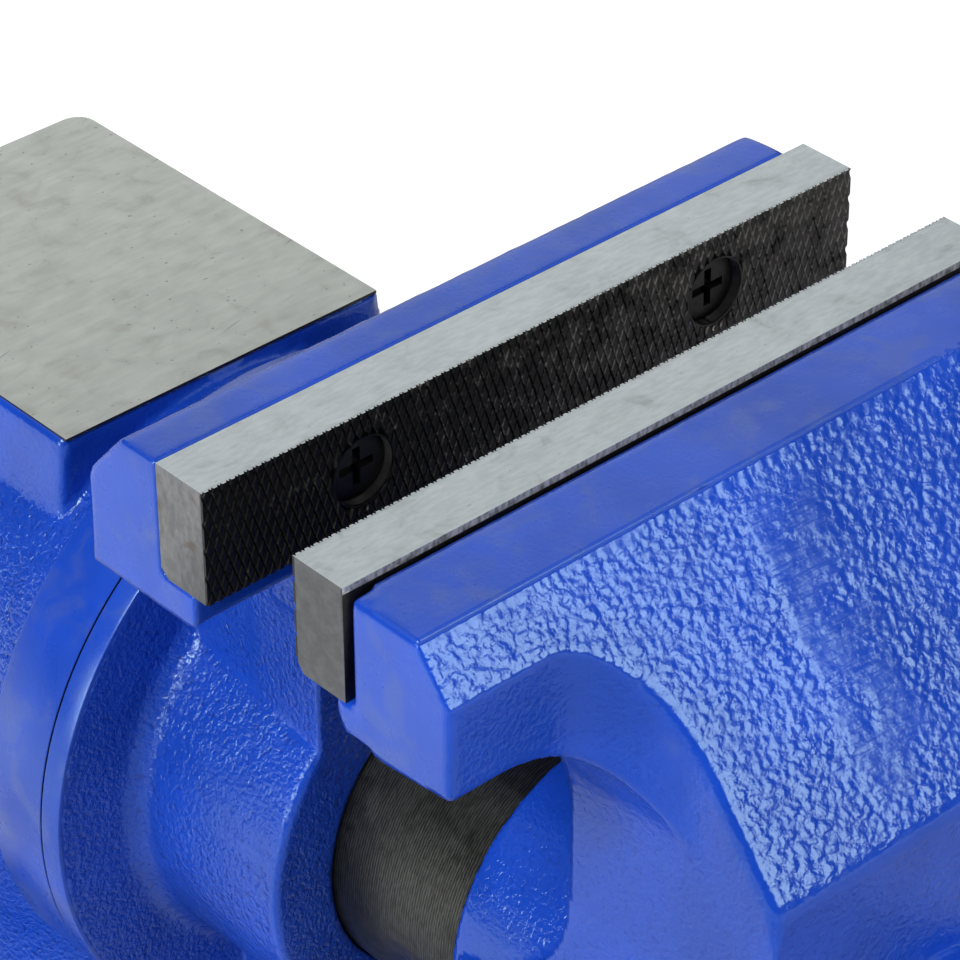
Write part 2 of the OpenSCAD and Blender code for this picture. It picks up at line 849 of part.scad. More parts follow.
// Collar behind the jaw's wall and the pin that holds it on the screw
pin_r = 3;
pin_in = 0.5;
module pin_hole() {
    translate([0, collar_y + collar_t / 2, axis_z - collar_r - cut])
        cylinder(r = pin_r, h = 2 * (collar_r + cut));
}
module retaining_collar() {
    color(steel) difference() {
        axial(collar_r, collar_y, collar_y + collar_t);
        axial(journal_r, collar_y - cut, collar_y + collar_t + cut);
        pin_hole();
    }
}
module collar_pin() {
    color(black) translate([0, collar_y + collar_t / 2, axis_z - collar_r + pin_in])
        cylinder(r = pin_r, h = 2 * (collar_r - pin_in));
}

module handle_bar() {
    color(steel) translate([-handle_l / 2, handle_y, axis_z]) rotate([0, 90, 0])
        cylinder(r = handle_r, h = handle_l);
}

// Cap on the end of the handle bar: a ball with a flat inner face
cap_flat = 0.55 * cap_r;
cap_seat = 9;
module handle_cap() {
    difference() {
        translate([handle_l / 2 - cap_seat + cap_flat, handle_y, axis_z]) rotate([0, 90, 0]) intersection() {
            sphere(cap_r);
            translate([0, 0, -cap_flat]) cylinder(r = 2 * cap_r, h = 2 * cap_r);
        }
        translate([handle_l / 2 - 2 * cap_r, handle_y, axis_z]) rotate([0, 90, 0])
            cylinder(r = handle_r, h = 2 * cap_r);
    }
}
module right_handle_cap() {
    color(black) handle_cap();
}
module left_handle_cap() {
    color(black) mirror([1, 0, 0]) handle_cap();
}

// Round pedestal between foot and barrel, with a waist
module pedestal() {
    low_r = groove_at - ear_r - 3;
    meet = 35;
    inset = 0.5;
    top_r = barrel_r * cos(meet) - inset;
    top_at = axis_z - barrel_r * sin(meet);
    root = 9;
    rotate_extrude() polygon(rounded([
        [0, foot_z + 1, 0],
        [low_r + root, foot_z + 1, 0],
        [low_r + root, foot_top, 0],
        [low_r, foot_top, root - 1],
        [waist_r, waist_z, 40],
        [top_r, top_at, 0],
        [0, top_at, 0]]));
}

// Block with the flat anvil face, its sides spreading into the barrel
module anvil() {
    half = anvil_w / 2;
    spread = half + anvil_spread * anvil_h;
    from = face_y + anvil_from;
    edge = 0.8;
    front_slab(from, min(from + anvil_l, body_end)) translate([0, axis_z])
        polygon(rounded([[-half, anvil_h, edge], [half, anvil_h, edge], [spread, 0, 0], [-spread, 0, 0]]));
}

// Frame of the head lock: Z points outward from the clamping axis
module at_head_lock() {
    translate([0, head_lock_y, axis_z]) rotate([0, 90 + head_lock_angle, 0]) children();
}

module body() {
    bore = sleeve_r - 1;
    collar_end = body_y + collar_l;
    color(paint) difference() {
        union() {
            revolved(rounded([
                [bore, body_y, 0],
                [flange_r, body_y, 0.6],
                [flange_r, collar_end, 1],
                [barrel_r, collar_end + 3, 3],
                [barrel_r, body_end, 4],
                [bore, body_end, 0]]));
            anvil();
            pedestal();
            translate([0, 0, foot_z]) cylinder(r = foot_r, h = foot_t);
            for (side = [-1, 1]) {
                translate([side * groove_at, 0, foot_z]) cylinder(r = ear_r, h = foot_t + ear_h);
            }
            at_head_lock() translate([0, 0, sleeve_r])
                cylinder(r = lock_boss_r, h = lock_boss_at - sleeve_r);
        }
        axial(sleeve_r + run_fit, body_y - cut, body_end + cut);
        translate([0, 0, foot_z - cut]) cylinder(r = pivot_r + run_fit, h = pivot_h + 2 * cut);
        for (side = [-1, 1]) {
            translate([side * groove_at, 0, foot_z - cut])
                cylinder(r = lock_bolt_r + hole_gap, h = foot_t + ear_h + 2 * cut);
        }
        at_head_lock() cylinder(r = stud_r + run_fit, h = lock_boss_at + cut);
    }
}

// T-bolts with square heads in the groove of the base
module lock_bolts() {
    color(steel) for (side = [-1, 1]) {
        translate([side * groove_at, 0, bolt_z]) {
            translate([-bolt_head / 2, -bolt_head / 2, 0])
                cube([bolt_head, bolt_head, groove_h - 2 * bolt_play]);
            cylinder(r = lock_bolt_r, h = lever_z + lever_bore - 1 - bolt_z);
        }
    }
}

module lock_washers() {
    color(steel) for (side = [-1, 1]) {
        translate([side * groove_at, 0, washer_z]) difference() {
            cylinder(r = lever_hub_r + 1, h = washer_t);
            translate([0, 0, -cut]) cylinder(r = lock_bolt_r, h = washer_t + 2 * cut);
        }
    }
}

// Lever with its hub on the Z axis, its arm towards +X and a round knob
module lever() {
    taper = 1;
    rotate_extrude() polygon(rounded([
        [0, 0, 0],
        [lever_hub_r, 0, 1],
        [lever_hub_r, 0.6 * lever_hub_h, 3],
        [lever_hub_r - 3, lever_hub_h, 3],
        [0, lever_hub_h, 0]]));
    translate([0, 0, 0.55 * lever_hub_h]) rotate([0, 90 - lever_rise, 0]) {
        cylinder(r1 = lever_r + taper, r2 = lever_r - taper, h = lever_l);
        translate([0, 0, lever_l]) sphere(knob_r);
    }
}

module swivel_lever(side, turn) {
    color(steel) translate([side * groove_at, 0, lever_z]) difference() {
        rotate(turn) lever();
        translate([0, 0, -cut]) cylinder(r = lock_bolt_r + run_fit, h = lever_bore + cut);
    }
}
module left_lock_lever() {
    swivel_lever(-1, left_turn);
}
module right_lock_lever() {
    swivel_lever(1, right_turn);
}

// Lever of the head lock with its stud through the boss
module head_lock_lever() {
    stud_from = sleeve_r + shoe_t + 2 * face_gap;
    lever_from = lock_boss_at + face_gap;
    color(steel) at_head_lock() {
        translate([0, 0, lever_from]) rotate(90) lever();
        translate([0, 0, stud_from]) cylinder(r = stud_r, h = lever_from + 1 - stud_from);
    }
}
module head_lock_shoe() {
    color("goldenrod") at_head_lock() translate([0, 0, sleeve_r + face_gap])
        cylinder(r = stud_r + run_fit, h = shoe_t);
}

// Round base with a T-groove, a pivot and four lugs
module swivel_base() {
    lug_count = 4;
    lug_step = 360 / lug_count;
    color(paint) difference() {
        union() {
            rotate_extrude() polygon(rounded([
                [0, 0, 0],
                [base_r, 0, 1],
                [base_r, base_t, 3],
                [pivot_r, base_t, 0],
                [pivot_r, base_t + pivot_h, 1],
                [0, base_t + pivot_h, 0]]));
            for (i = [0:lug_count - 1]) {
                rotate(lug_step * (i + 0.5)) linear_extrude(lug_t) {
                    translate([lug_pcd / 2, 0]) circle(lug_r);
                    translate([0, -lug_r]) square([lug_pcd / 2, 2 * lug_r]);
                }
            }
        }
        rotate_extrude() translate([groove_at, 0]) {
            translate([-groove_half, groove_floor]) square([2 * groove_half, groove_h]);
            translate([-groove_slot, groove_floor]) square([2 * groove_slot, base_t]);
        }
        translate([0, -groove_at, groove_floor]) cylinder(r = entry_r, h = base_t);
        for (i = [0:lug_count - 1]) {
            rotate(lug_step * (i + 0.5)) translate([lug_pcd / 2, 0, -cut])
                cylinder(r = mount_hole_r, h = lug_t + 2 * cut);
        }
        translate([0, 0, -cut]) cylinder(r = relief_r, h = relief_h + cut);
    }
}

swivel_base();
body();
lock_bolts();
lock_washers();
left_lock_lever();
right_lock_lever();
head_lock_lever();
head_lock_shoe();
rotating_head();
fixed_jaw_plate();
fixed_plate_screws();
fixed_pipe_jaw();
fixed_pipe_screws();
guide_key();
key_screw();
rear_cover();
cover_screws();
main_nut();
nut_screws();
movable_jaw();
movable_jaw_plate();
movable_plate_screws();
movable_pipe_jaw();
movable_pipe_screws();
main_screw();
thrust_washer();
retaining_collar();
collar_pin();
handle_bar();
left_handle_cap();
right_handle_cap();
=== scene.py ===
import math

import bmesh
import bpy
import numpy as np
from mathutils import Matrix, Vector, noise


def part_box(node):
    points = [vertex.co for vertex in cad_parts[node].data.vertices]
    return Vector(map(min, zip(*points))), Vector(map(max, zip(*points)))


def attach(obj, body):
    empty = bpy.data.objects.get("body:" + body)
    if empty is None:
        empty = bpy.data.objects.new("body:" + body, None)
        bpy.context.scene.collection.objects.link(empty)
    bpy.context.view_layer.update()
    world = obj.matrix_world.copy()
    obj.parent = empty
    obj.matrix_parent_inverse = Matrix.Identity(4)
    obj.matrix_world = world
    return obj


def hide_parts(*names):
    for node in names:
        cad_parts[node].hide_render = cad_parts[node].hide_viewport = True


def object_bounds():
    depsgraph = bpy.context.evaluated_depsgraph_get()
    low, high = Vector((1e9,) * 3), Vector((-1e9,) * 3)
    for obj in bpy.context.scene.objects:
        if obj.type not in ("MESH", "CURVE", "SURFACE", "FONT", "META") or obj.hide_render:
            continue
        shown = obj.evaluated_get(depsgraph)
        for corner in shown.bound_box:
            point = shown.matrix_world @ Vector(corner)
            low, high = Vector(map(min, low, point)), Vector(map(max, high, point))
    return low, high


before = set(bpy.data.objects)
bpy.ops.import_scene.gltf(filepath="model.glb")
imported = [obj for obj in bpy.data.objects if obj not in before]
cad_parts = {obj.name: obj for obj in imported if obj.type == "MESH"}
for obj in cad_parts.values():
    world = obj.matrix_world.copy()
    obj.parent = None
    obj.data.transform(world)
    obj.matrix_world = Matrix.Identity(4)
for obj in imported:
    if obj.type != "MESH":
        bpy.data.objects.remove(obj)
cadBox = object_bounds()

scene = bpy.context.scene
mm = 0.001
axisHeight = 160 * mm  # of the screw, the slide bar and the barrel
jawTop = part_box("fixed_jaw_plate")[1].z
print("vise: frame loaded,", len(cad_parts), "nodes")


# camera at the photograph's angle

photoView = {
    "place": (-0.4050, -0.5582, 0.6587),
    "azimuth": -41.983,
    "elevation": 35.012,
    "roll": -0.348,
    "focalPixels": 4155.4,
    "imagePixels": 960,
    "sensor": 36.0,
    "nearest": 0.05,
}


def placeCamera(view):
    azimuth, elevation, roll = (math.radians(view[k]) for k in ("azimuth", "elevation", "roll"))
    right = Vector((math.cos(azimuth), math.sin(azimuth), 0))
    back = Vector((
        math.sin(azimuth) * math.cos(elevation),
        -math.cos(azimuth) * math.cos(elevation),
        math.sin(elevation)))
    up = back.cross(right)
    across = math.cos(roll) * right + math.sin(roll) * up
    upright = math.cos(roll) * up - math.sin(roll) * right
    turn = Matrix((across, upright, back)).transposed().to_4x4()
    lens = bpy.data.cameras.new("photoCamera")
    lens.sensor_width = view["sensor"]
    lens.lens = view["sensor"] * view["focalPixels"] / view["imagePixels"]
    lens.clip_start = view["nearest"]
    camera = bpy.data.objects.new("photoCamera", lens)
    camera.matrix_world = Matrix.Translation(view["place"]) @ turn
    scene.collection.objects.link(camera)
    scene.camera = camera


placeCamera(photoView)


# node helpers: a number or colour goes on the socket, an output is linked to it

def feed(tree, socket, value):
    if isinstance(value, bpy.types.NodeSocket):
        tree.links.new(value, socket)
    else:
        socket.default_value = value


def put(tree, kind, inputs=None, **settings):
    node = tree.nodes.new(kind)
    for key, value in settings.items():
        setattr(node, key, value)
    for key, value in (inputs or {}).items():
        feed(tree, node.inputs[key], value)
    return node


def newFinish(name):
    finish = bpy.data.materials.new(name)
    finish.use_nodes = True
    tree = finish.node_tree
    tree.nodes.clear()
    shader = put(tree, "ShaderNodeBsdfPrincipled")
    put(tree, "ShaderNodeOutputMaterial", {"Surface": shader.outputs["BSDF"]})
    place = put(tree, "ShaderNodeTexCoord").outputs["Object"]
    return finish, tree, shader, place


def stretched(tree, place, scale):
    return put(tree, "ShaderNodeMapping", {"Vector": place, "Scale": scale}).outputs["Vector"]


def grain(tree, place, size, detail=2.0, rough=0.5, warp=0.0):
    inputs = {"Vector": place, "Scale": 1 / size, "Detail": detail, "Roughness": rough, "Distortion": warp}
    return put(tree, "ShaderNodeTexNoise", inputs).outputs["Fac"]


def span(tree, value, low, high, toLow=0.0, toHigh=1.0):
    inputs = {"Value": value, "From Min": low, "From Max": high, "To Min": toLow, "To Max": toHigh}
    return put(tree, "ShaderNodeMapRange", inputs, interpolation_type="SMOOTHSTEP").outputs["Result"]


def calc(tree, operation, a, b):
    return put(tree, "ShaderNodeMath", {0: a, 1: b}, operation=operation).outputs["Value"]


def plus(tree, a, b):
    return calc(tree, "ADD", a, b)


def times(tree, a, b):
    return calc(tree, "MULTIPLY", a, b)


def larger(tree, a, b):
    return calc(tree, "MAXIMUM", a, b)


def vectorCalc(tree, operation, inputs):
    return put(tree, "ShaderNodeVectorMath", inputs, operation=operation).outputs["Value"]


def blendColour(tree, factor, a, b):
    return put(tree, "ShaderNodeMix", {0: factor, 6: a, 7: b}, data_type="RGBA").outputs[2]


def painted(tree, name):
    return put(tree, "ShaderNodeAttribute", attribute_name=name).outputs["Fac"]


def bumped(tree, height, depth, strength, under=None):
    inputs = {"Height": height, "Distance": depth, "Strength": strength}
    if under is not None:
        inputs["Normal"] = under
    return put(tree, "ShaderNodeBump", inputs).outputs["Normal"]


def rgb(r, g, b):
    return (r, g, b, 1.0)


# stage: a pale floor with a painted glow behind the vise, painted shade in front of and near it, and soft
# boxes around it

studio = {
    "floorBack": (0.80, 0.80, 0.80),
    "floorFrontShade": (0.50, 0.50, 0.51),
    "floorPaintedGlow": 0.38,
    "farPaintedGlow": 0.6,
    "backwards": (0.12, 0.99, 0),
    "floorTurns": (-0.24, -0.02),
    "farFrom": (0.7, 1.5),
    "paintedShadeUntil": (0.15, 0.42),
    "floorSize": 8.0,
    "speckSize": 0.02,
    "speckDark": 0.02,
    "floorRough": 0.8,
    "floorShine": 0.2,
    "worldColour": (0.93, 0.96, 1.0),
    "worldStrength": 0.02,
    "aim": (0.0, -0.19, 0.25),
    "boxes": {
        "frontBox": {"turn": -73, "rise": 26, "away": 1.4, "wide": 0.96, "high": 0.6, "glow": 8.3},
        "leftBox": {"turn": 168, "rise": 7, "away": 1.4, "wide": 0.5, "high": 0.4, "glow": 12.5},
        "highLeftBox": {"turn": -173, "rise": 42, "away": 1.4, "wide": 0.55, "high": 0.45, "glow": 22.0},
        "rightBox": {"turn": -15, "rise": 52, "away": 1.5, "wide": 1.5, "high": 1.1, "glow": 0.8},
        "backLeftBox": {"turn": 120, "rise": 46, "away": 1.4, "wide": 1.1, "high": 0.8, "glow": 0.6},
        "backRightBox": {"turn": 60, "rise": 24, "away": 1.4, "wide": 1.2, "high": 0.9, "glow": 1.3},
    },
}


def makeFloor(values):
    half = values["floorSize"] / 2
    corners = [(-half, -half, 0), (half, -half, 0), (half, half, 0), (-half, half, 0)]
    mesh = bpy.data.meshes.new("floor")
    mesh.from_pydata(corners, [], [(0, 1, 2, 3)])
    floor = bpy.data.objects.new("floor", mesh)
    scene.collection.objects.link(floor)
    finish, tree, shader, place = newFinish("paleFloor")
    along = vectorCalc(tree, "DOT_PRODUCT", {0: place, 1: values["backwards"]})
    behind = span(tree, along, *values["floorTurns"])
    away = vectorCalc(tree, "LENGTH", {0: place})
    far = span(tree, away, *values["farFrom"])
    # painted shade: the floor's glow fades out near the vise, standing in for its cast shadow
    clear = span(tree, away, *values["paintedShadeUntil"])
    # painted shade: the floor colour is darker in front of the vise than behind it
    pale = blendColour(tree, larger(tree, behind, far), rgb(*values["floorFrontShade"]), rgb(*values["floorBack"]))
    speck = times(tree, grain(tree, place, values["speckSize"], 3.0), values["speckDark"])
    feed(tree, shader.inputs["Base Color"], blendColour(tree, speck, pale, rgb(0, 0, 0)))
    # painted glow: the floor emits light behind the vise and far away, though it is no lamp
    glow = times(tree, times(tree, behind, clear), values["floorPaintedGlow"])
    glow = larger(tree, glow, times(tree, far, values["farPaintedGlow"]))
    feed(tree, shader.inputs["Emission Strength"], glow)
    shader.inputs["Emission Color"].default_value = rgb(1, 1, 1)
    shader.inputs["Roughness"].default_value = values["floorRough"]
    shader.inputs["Specular IOR Level"].default_value = values["floorShine"]
    mesh.materials.append(finish)


def makeSoftBox(name, box, aim):
    turn, rise = math.radians(box["turn"]), math.radians(box["rise"])
    towards = Vector((math.cos(turn) * math.cos(rise), math.sin(turn) * math.cos(rise), math.sin(rise)))
    lamp = bpy.data.lights.new(name, "AREA")
    lamp.shape = "RECTANGLE"
    lamp.size, lamp.size_y = box["wide"], box["high"]
    lamp.energy = math.pi * box["wide"] * box["high"] * box["glow"]
    holder = bpy.data.objects.new(name, lamp)
    holder.location = Vector(aim) + box["away"] * towards
    holder.rotation_euler = (-towards).to_track_quat("-Z", "Y").to_euler()
    scene.collection.objects.link(holder)


makeFloor(studio)
for boxName, box in studio["boxes"].items():
    makeSoftBox(boxName, box, studio["aim"])
world = bpy.data.worlds.new("studio")
world.use_nodes = True
sky = world.node_tree.nodes["Background"]
sky.inputs["Color"].default_value = rgb(*studio["worldColour"])
sky.inputs["Strength"].default_value = studio["worldStrength"]
scene.world = world
scene.view_settings.view_transform = "Standard"
scene.view_settings.look = "None"
print("vise: camera, floor and lights placed")


# finishes: the masks rough, satin and brushed are stored on the painted meshes

paintLook = {
    "deep": (0.0055, 0.041, 0.335),
    "bright": (0.0080, 0.054, 0.437),
    "pitShade": (0.002, 0.012, 0.16),
    "pitShadeShare": 0.6,
    "hazeSheen": (0.050, 0.085, 0.30),
    "hazeSheenShare": 0.45,
    "sheen": (0.66, 0.96, 1.0),
    "lump": 1.25 * mm,
    "peel": 0.6 * mm,
    "drift": 28 * mm,
    "cloud": 11 * mm,
    "glossPatch": 6 * mm,
    "gloss": (0.13, 0.20),
    "satin": 0.13,
    "relief": 0.56 * mm,
    "skin": 0.10 * mm,
    "strokeLay": (0.10, 1, 1),
    "strokeWide": 1.2 * mm,
    "strokeDeep": 0.20 * mm,
}


def makePaint(name, look):
    finish, tree, shader, place = newFinish(name)
    rough, satin, brushed = (painted(tree, mask) for mask in ("rough", "satin", "brushed"))
    lump = grain(tree, place, look["lump"], 2.0, 0.5, 0.3)
    peel = grain(tree, place, look["peel"], 2.0)
    drift = grain(tree, place, look["drift"], 3.0)
    coat = blendColour(tree, span(tree, drift, 0.3, 0.7), rgb(*look["deep"]), rgb(*look["bright"]))
    # painted shade: the paint colour turns darker in the low parts of the lumps where the skin is rough
    shadedPits = times(tree, span(tree, lump, 0.44, 0.28), rough)
    colour = blendColour(tree, times(tree, shadedPits, look["pitShadeShare"]), coat, rgb(*look["pitShade"]))
    # painted sheen: pale grey-blue patches on the satin flats and ends stand in for reflected light
    cloud = span(tree, grain(tree, place, look["cloud"], 4.0, 0.6, 0.6), 0.46, 0.66)
    sheenPatches = times(tree, times(tree, cloud, satin), look["hazeSheenShare"])
    feed(tree, shader.inputs["Base Color"], blendColour(tree, sheenPatches, colour, rgb(*look["hazeSheen"])))
    gloss = span(tree, grain(tree, place, look["glossPatch"], 3.0), 0.3, 0.7, *look["gloss"])
    feed(tree, shader.inputs["Roughness"], plus(tree, gloss, times(tree, satin, look["satin"])))
    shader.inputs["Specular Tint"].default_value = rgb(*look["sheen"])
    cast = bumped(tree, plus(tree, lump, times(tree, peel, 0.25)), look["relief"], rough)
    fine = bumped(tree, plus(tree, peel, drift), look["skin"], 0.2, cast)
    stroke = grain(tree, stretched(tree, place, look["strokeLay"]), look["strokeWide"], 2.0)
    feed(tree, shader.inputs["Normal"], bumped(tree, stroke, look["strokeDeep"], brushed, fine))
    return finish


steelLook = {
    "plateSteel": {
        "dark": (0.36, 0.405, 0.42), "light": (0.43, 0.475, 0.49), "metal": 0.5, "rough": (0.34, 0.46),
        "lay": (0.3, 1, 1), "line": 0.9 * mm, "smudge": (0.20, 0.21, 0.21), "dirt": 0.35, "marks": 0.25},
    "sawnEnd": {
        "dark": (0.10, 0.105, 0.11), "light": (0.17, 0.175, 0.18), "metal": 0.5, "rough": (0.40, 0.55),
        "lay": (1, 1, 0.5), "line": 1.2 * mm, "smudge": (0.10, 0.075, 0.055), "dirt": 0.75},
    "cutEnd": {
        "dark": (0.062, 0.066, 0.070), "light": (0.092, 0.097, 0.101), "metal": 0.5, "rough": (0.40, 0.55),
        "lay": (1, 1, 1), "line": 2.0 * mm, "smudge": (0.06, 0.055, 0.05), "dirt": 0.5},
    "plateBack": {
        "dark": (0.16, 0.165, 0.17), "light": (0.55, 0.56, 0.57), "metal": 0.6, "rough": (0.30, 0.5),
        "lay": (1, 1, 0.4), "line": 0.8 * mm, "smudge": (0.03, 0.03, 0.03), "dirt": 0.6},
    "anvilSteel": {
        "dark": (0.36, 0.385, 0.36), "light": (0.41, 0.435, 0.405), "metal": 0.5, "rough": (0.36, 0.50),
        "lay": (0.2, 1, 1), "line": 2.2 * mm, "smudge": (0.30, 0.285, 0.25), "dirt": 0.35, "marks": 0.6},
    "turnedBar": {
        "dark": (0.020, 0.021, 0.020), "light": (0.070, 0.073, 0.069), "metal": 0.9, "rough": (0.28, 0.40),
        "lay": (0.25, 1, 0.25), "line": 0.5 * mm, "smudge": (0.018, 0.018, 0.016), "dirt": 0.6,
        "pitch": 0.6 * mm},
    "forgedSteel": {
        "dark": (0.22, 0.22, 0.22), "light": (0.38, 0.38, 0.37), "metal": 0.85, "rough": (0.30, 0.46),
        "lay": (1, 1, 1), "line": 1.4 * mm, "smudge": (0.09, 0.08, 0.07), "dirt": 0.4},
    "brightSteel": {
        "dark": (0.42, 0.42, 0.42), "light": (0.58, 0.58, 0.57), "metal": 1.0, "rough": (0.20, 0.34),
        "lay": (1, 0.06, 1), "line": 0.5 * mm, "smudge": (0.20, 0.18, 0.16), "dirt": 0.25},
    "blackOxide": {
        "dark": (0.010, 0.010, 0.011), "light": (0.030, 0.029, 0.028), "metal": 0.4, "rough": (0.34, 0.52),
        "lay": (1, 1, 1), "line": 1.0 * mm, "smudge": (0.05, 0.042, 0.035), "dirt": 0.35},
    # painted shade: near-black for the sunk plate screws, the counterbore walls and the hidden back of the
    # plates, darker than the screws' own black oxide
    "shadeBlack": {
        "dark": (0.003, 0.003, 0.003), "light": (0.010, 0.010, 0.010), "metal": 0.4, "rough": (0.34, 0.52),
        "lay": (1, 1, 1), "line": 1.0 * mm, "smudge": (0.012, 0.011, 0.010), "dirt": 0.35},
    "bronzeBush": {
        "dark": (0.32, 0.19, 0.07), "light": (0.50, 0.32, 0.13), "metal": 1.0, "rough": (0.28, 0.44),
        "lay": (0.06, 1, 0.06), "line": 0.6 * mm, "smudge": (0.12, 0.07, 0.03), "dirt": 0.4},
}
steelGrain = {
    "stain": 7 * mm,
    "stainDeep": 0.10 * mm,
    "lineDeep": 0.05 * mm,
    "turnedDeep": 0.09 * mm,
    "bandScale": 0.314,
    "scratchTurn": (0, 0, math.radians(13)),
    "scratchLong": (16, 1, 1),
    "scratch": 1.0 * mm,
    "speck": 0.9 * mm,
    "markDark": 0.3,
}


def withTurning(tree, place, line, pitch, size):
    inputs = {"Vector": place, "Scale": size["bandScale"] / pitch}
    inputs.update({"Distortion": 2.0, "Detail": 2.0, "Detail Scale": 1.5})
    bands = put(tree, "ShaderNodeTexWave", inputs, bands_direction="Y").outputs["Fac"]
    return plus(tree, times(tree, line, 0.7), times(tree, bands, 0.3))


def withMarks(tree, place, metal, look, size):
    inputs = {"Vector": place, "Rotation": size["scratchTurn"], "Scale": size["scratchLong"]}
    turned = put(tree, "ShaderNodeMapping", inputs, vector_type="TEXTURE").outputs["Vector"]
    scratch = span(tree, grain(tree, turned, size["scratch"], 1.0), 0.73, 0.82)
    speck = span(tree, grain(tree, place, size["speck"], 0.0), 0.80, 0.88)
    marks = times(tree, larger(tree, scratch, speck), look["marks"])
    return blendColour(tree, marks, metal, rgb(*[size["markDark"] * c for c in look["dark"]]))


def makeSteel(name, look, size):
    finish, tree, shader, place = newFinish(name)
    line = grain(tree, stretched(tree, place, look["lay"]), look["line"], 3.0, 0.6)
    lineDeep = size["lineDeep"]
    if "pitch" in look:
        line = withTurning(tree, place, line, look["pitch"], size)
        lineDeep = size["turnedDeep"]
    metal = blendColour(tree, span(tree, line, 0.28, 0.72), rgb(*look["dark"]), rgb(*look["light"]))
    if "marks" in look:
        metal = withMarks(tree, place, metal, look, size)
    stain = grain(tree, place, size["stain"], 4.0, 0.6, 0.8)
    smear = times(tree, span(tree, stain, 0.54, 0.72), look["dirt"])
    feed(tree, shader.inputs["Base Color"], blendColour(tree, smear, metal, rgb(*look["smudge"])))
    feed(tree, shader.inputs["Roughness"], span(tree, stain, 0.25, 0.75, *look["rough"]))
    shader.inputs["Metallic"].default_value = look["metal"]
    fine = bumped(tree, line, lineDeep, 0.35)
    feed(tree, shader.inputs["Normal"], bumped(tree, stain, size["stainDeep"], 0.3, fine))
    return finish


knurlLook = {
    # painted highlight: the groove walls take the same steel as the face, painted far lighter, standing in
    # for light on the knurl
    "knurledFace": {"valley": (0.0032, 0.0031, 0.0030), "crest": (0.020, 0.019, 0.018)},
    "knurlGrooveLit": {"valley": (0.0120, 0.0115, 0.0110), "crest": (0.210, 0.201, 0.189)},
}
knurlToneAndLight = {
    "patch": 5 * mm,
    "fleck": 0.8 * mm,
    "fleckDeep": 0.06 * mm,
    "litAcrossTo": 80 * mm,
    "litAcross": (-0.22, 0.12),
    "rough": (0.30, 0.50),
    "metal": 0.6,
}


def makeKnurl(name, look, toneAndLight):
    finish, tree, shader, place = newFinish(name)
    patch = grain(tree, place, toneAndLight["patch"], 4.0, 0.6)
    fleck = grain(tree, place, toneAndLight["fleck"], 3.0)
    across = put(tree, "ShaderNodeSeparateXYZ", {"Vector": place}).outputs["X"]
    # painted light: the knurl turns lighter towards +X and darker towards -X
    litAcross = span(tree, across, -toneAndLight["litAcrossTo"], toneAndLight["litAcrossTo"], *toneAndLight["litAcross"])
    tone = plus(tree, patch, times(tree, fleck, 0.5))
    tone = span(tree, plus(tree, tone, litAcross), 0.62, 0.95)
    colour = blendColour(tree, tone, rgb(*look["valley"]), rgb(*look["crest"]))
    feed(tree, shader.inputs["Base Color"], colour)
    feed(tree, shader.inputs["Roughness"], span(tree, fleck, 0.3, 0.7, *toneAndLight["rough"]))
    shader.inputs["Metallic"].default_value = toneAndLight["metal"]
    feed(tree, shader.inputs["Normal"], bumped(tree, fleck, toneAndLight["fleckDeep"], 0.4))
    return finish


cobaltPaint = makePaint("cobaltPaint", paintLook)
steels = {name: makeSteel(name, look, steelGrain) for name, look in steelLook.items()}
knurledFace, knurlGrooveLit = (makeKnurl(name, look, knurlToneAndLight) for name, look in knurlLook.items())
print("vise: finishes made")


# solids and meshes

def cadSolid(node):
    solid = bmesh.new()
    solid.from_mesh(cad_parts[node].data)
    bmesh.ops.remove_doubles(solid, verts=solid.verts[:], dist=2e-6)
    return solid


def sliceAt(solid, place, away, drop=True):
    everything = solid.verts[:] + solid.edges[:] + solid.faces[:]
    cut = bmesh.ops.bisect_plane(solid, geom=everything, plane_co=place, plane_no=away, clear_outer=drop)
    return [e for e in cut["geom_cut"] if isinstance(e, bmesh.types.BMEdge)]


def cadPart(node, y, keepFront):
    solid = cadSolid(node)
    rim = sliceAt(solid, (0, y, 0), (0, 1, 0) if keepFront else (0, -1, 0))
    bmesh.ops.triangle_fill(solid, edges=rim, use_beauty=True)
    bmesh.ops.recalc_face_normals(solid, faces=solid.faces[:])
    return solid


def addRing(solid, x, z, profile, steps):
    loops = []
    for k in range(steps):
        a = 2 * math.pi * k / steps
        loops.append([solid.verts.new((x + r * math.cos(a), y, z + r * math.sin(a))) for r, y in profile])
    for k in range(steps):
        here, after = loops[k], loops[(k + 1) % steps]
        for m in range(len(profile)):
            n = (m + 1) % len(profile)
            solid.faces.new((here[m], after[m], after[n], here[n]))


def meshOf(solid, name):
    mesh = bpy.data.meshes.new(name)
    solid.to_mesh(mesh)
    solid.free()
    return mesh


def remeshed(mesh, cell):
    draft = bpy.data.objects.new("draft", mesh)
    scene.collection.objects.link(draft)
    longest = max(draft.dimensions)
    skin = draft.modifiers.new("skin", "REMESH")
    skin.mode = "SHARP"
    skin.octree_depth = math.ceil(math.log2(longest / cell / 0.98))
    skin.scale = longest / (cell * 2 ** skin.octree_depth)
    skin.use_remove_disconnected = False
    done = bpy.data.meshes.new_from_object(draft.evaluated_get(bpy.context.evaluated_depsgraph_get()))
    bpy.data.objects.remove(draft)
    return done


def pointsOf(mesh):
    points = np.empty(len(mesh.vertices) * 3, np.float32)
    mesh.vertices.foreach_get("co", points)
    return points.reshape(-1, 3).astype(float)


def normalsOf(mesh):
    normals = np.empty(len(mesh.vertices) * 3, np.float32)
    mesh.vertex_normals.foreach_get("vector", normals)
    return normals.reshape(-1, 3).astype(float)


def setPoints(mesh, points):
    mesh.vertices.foreach_set("co", points.astype(np.float32).ravel())
    mesh.update()


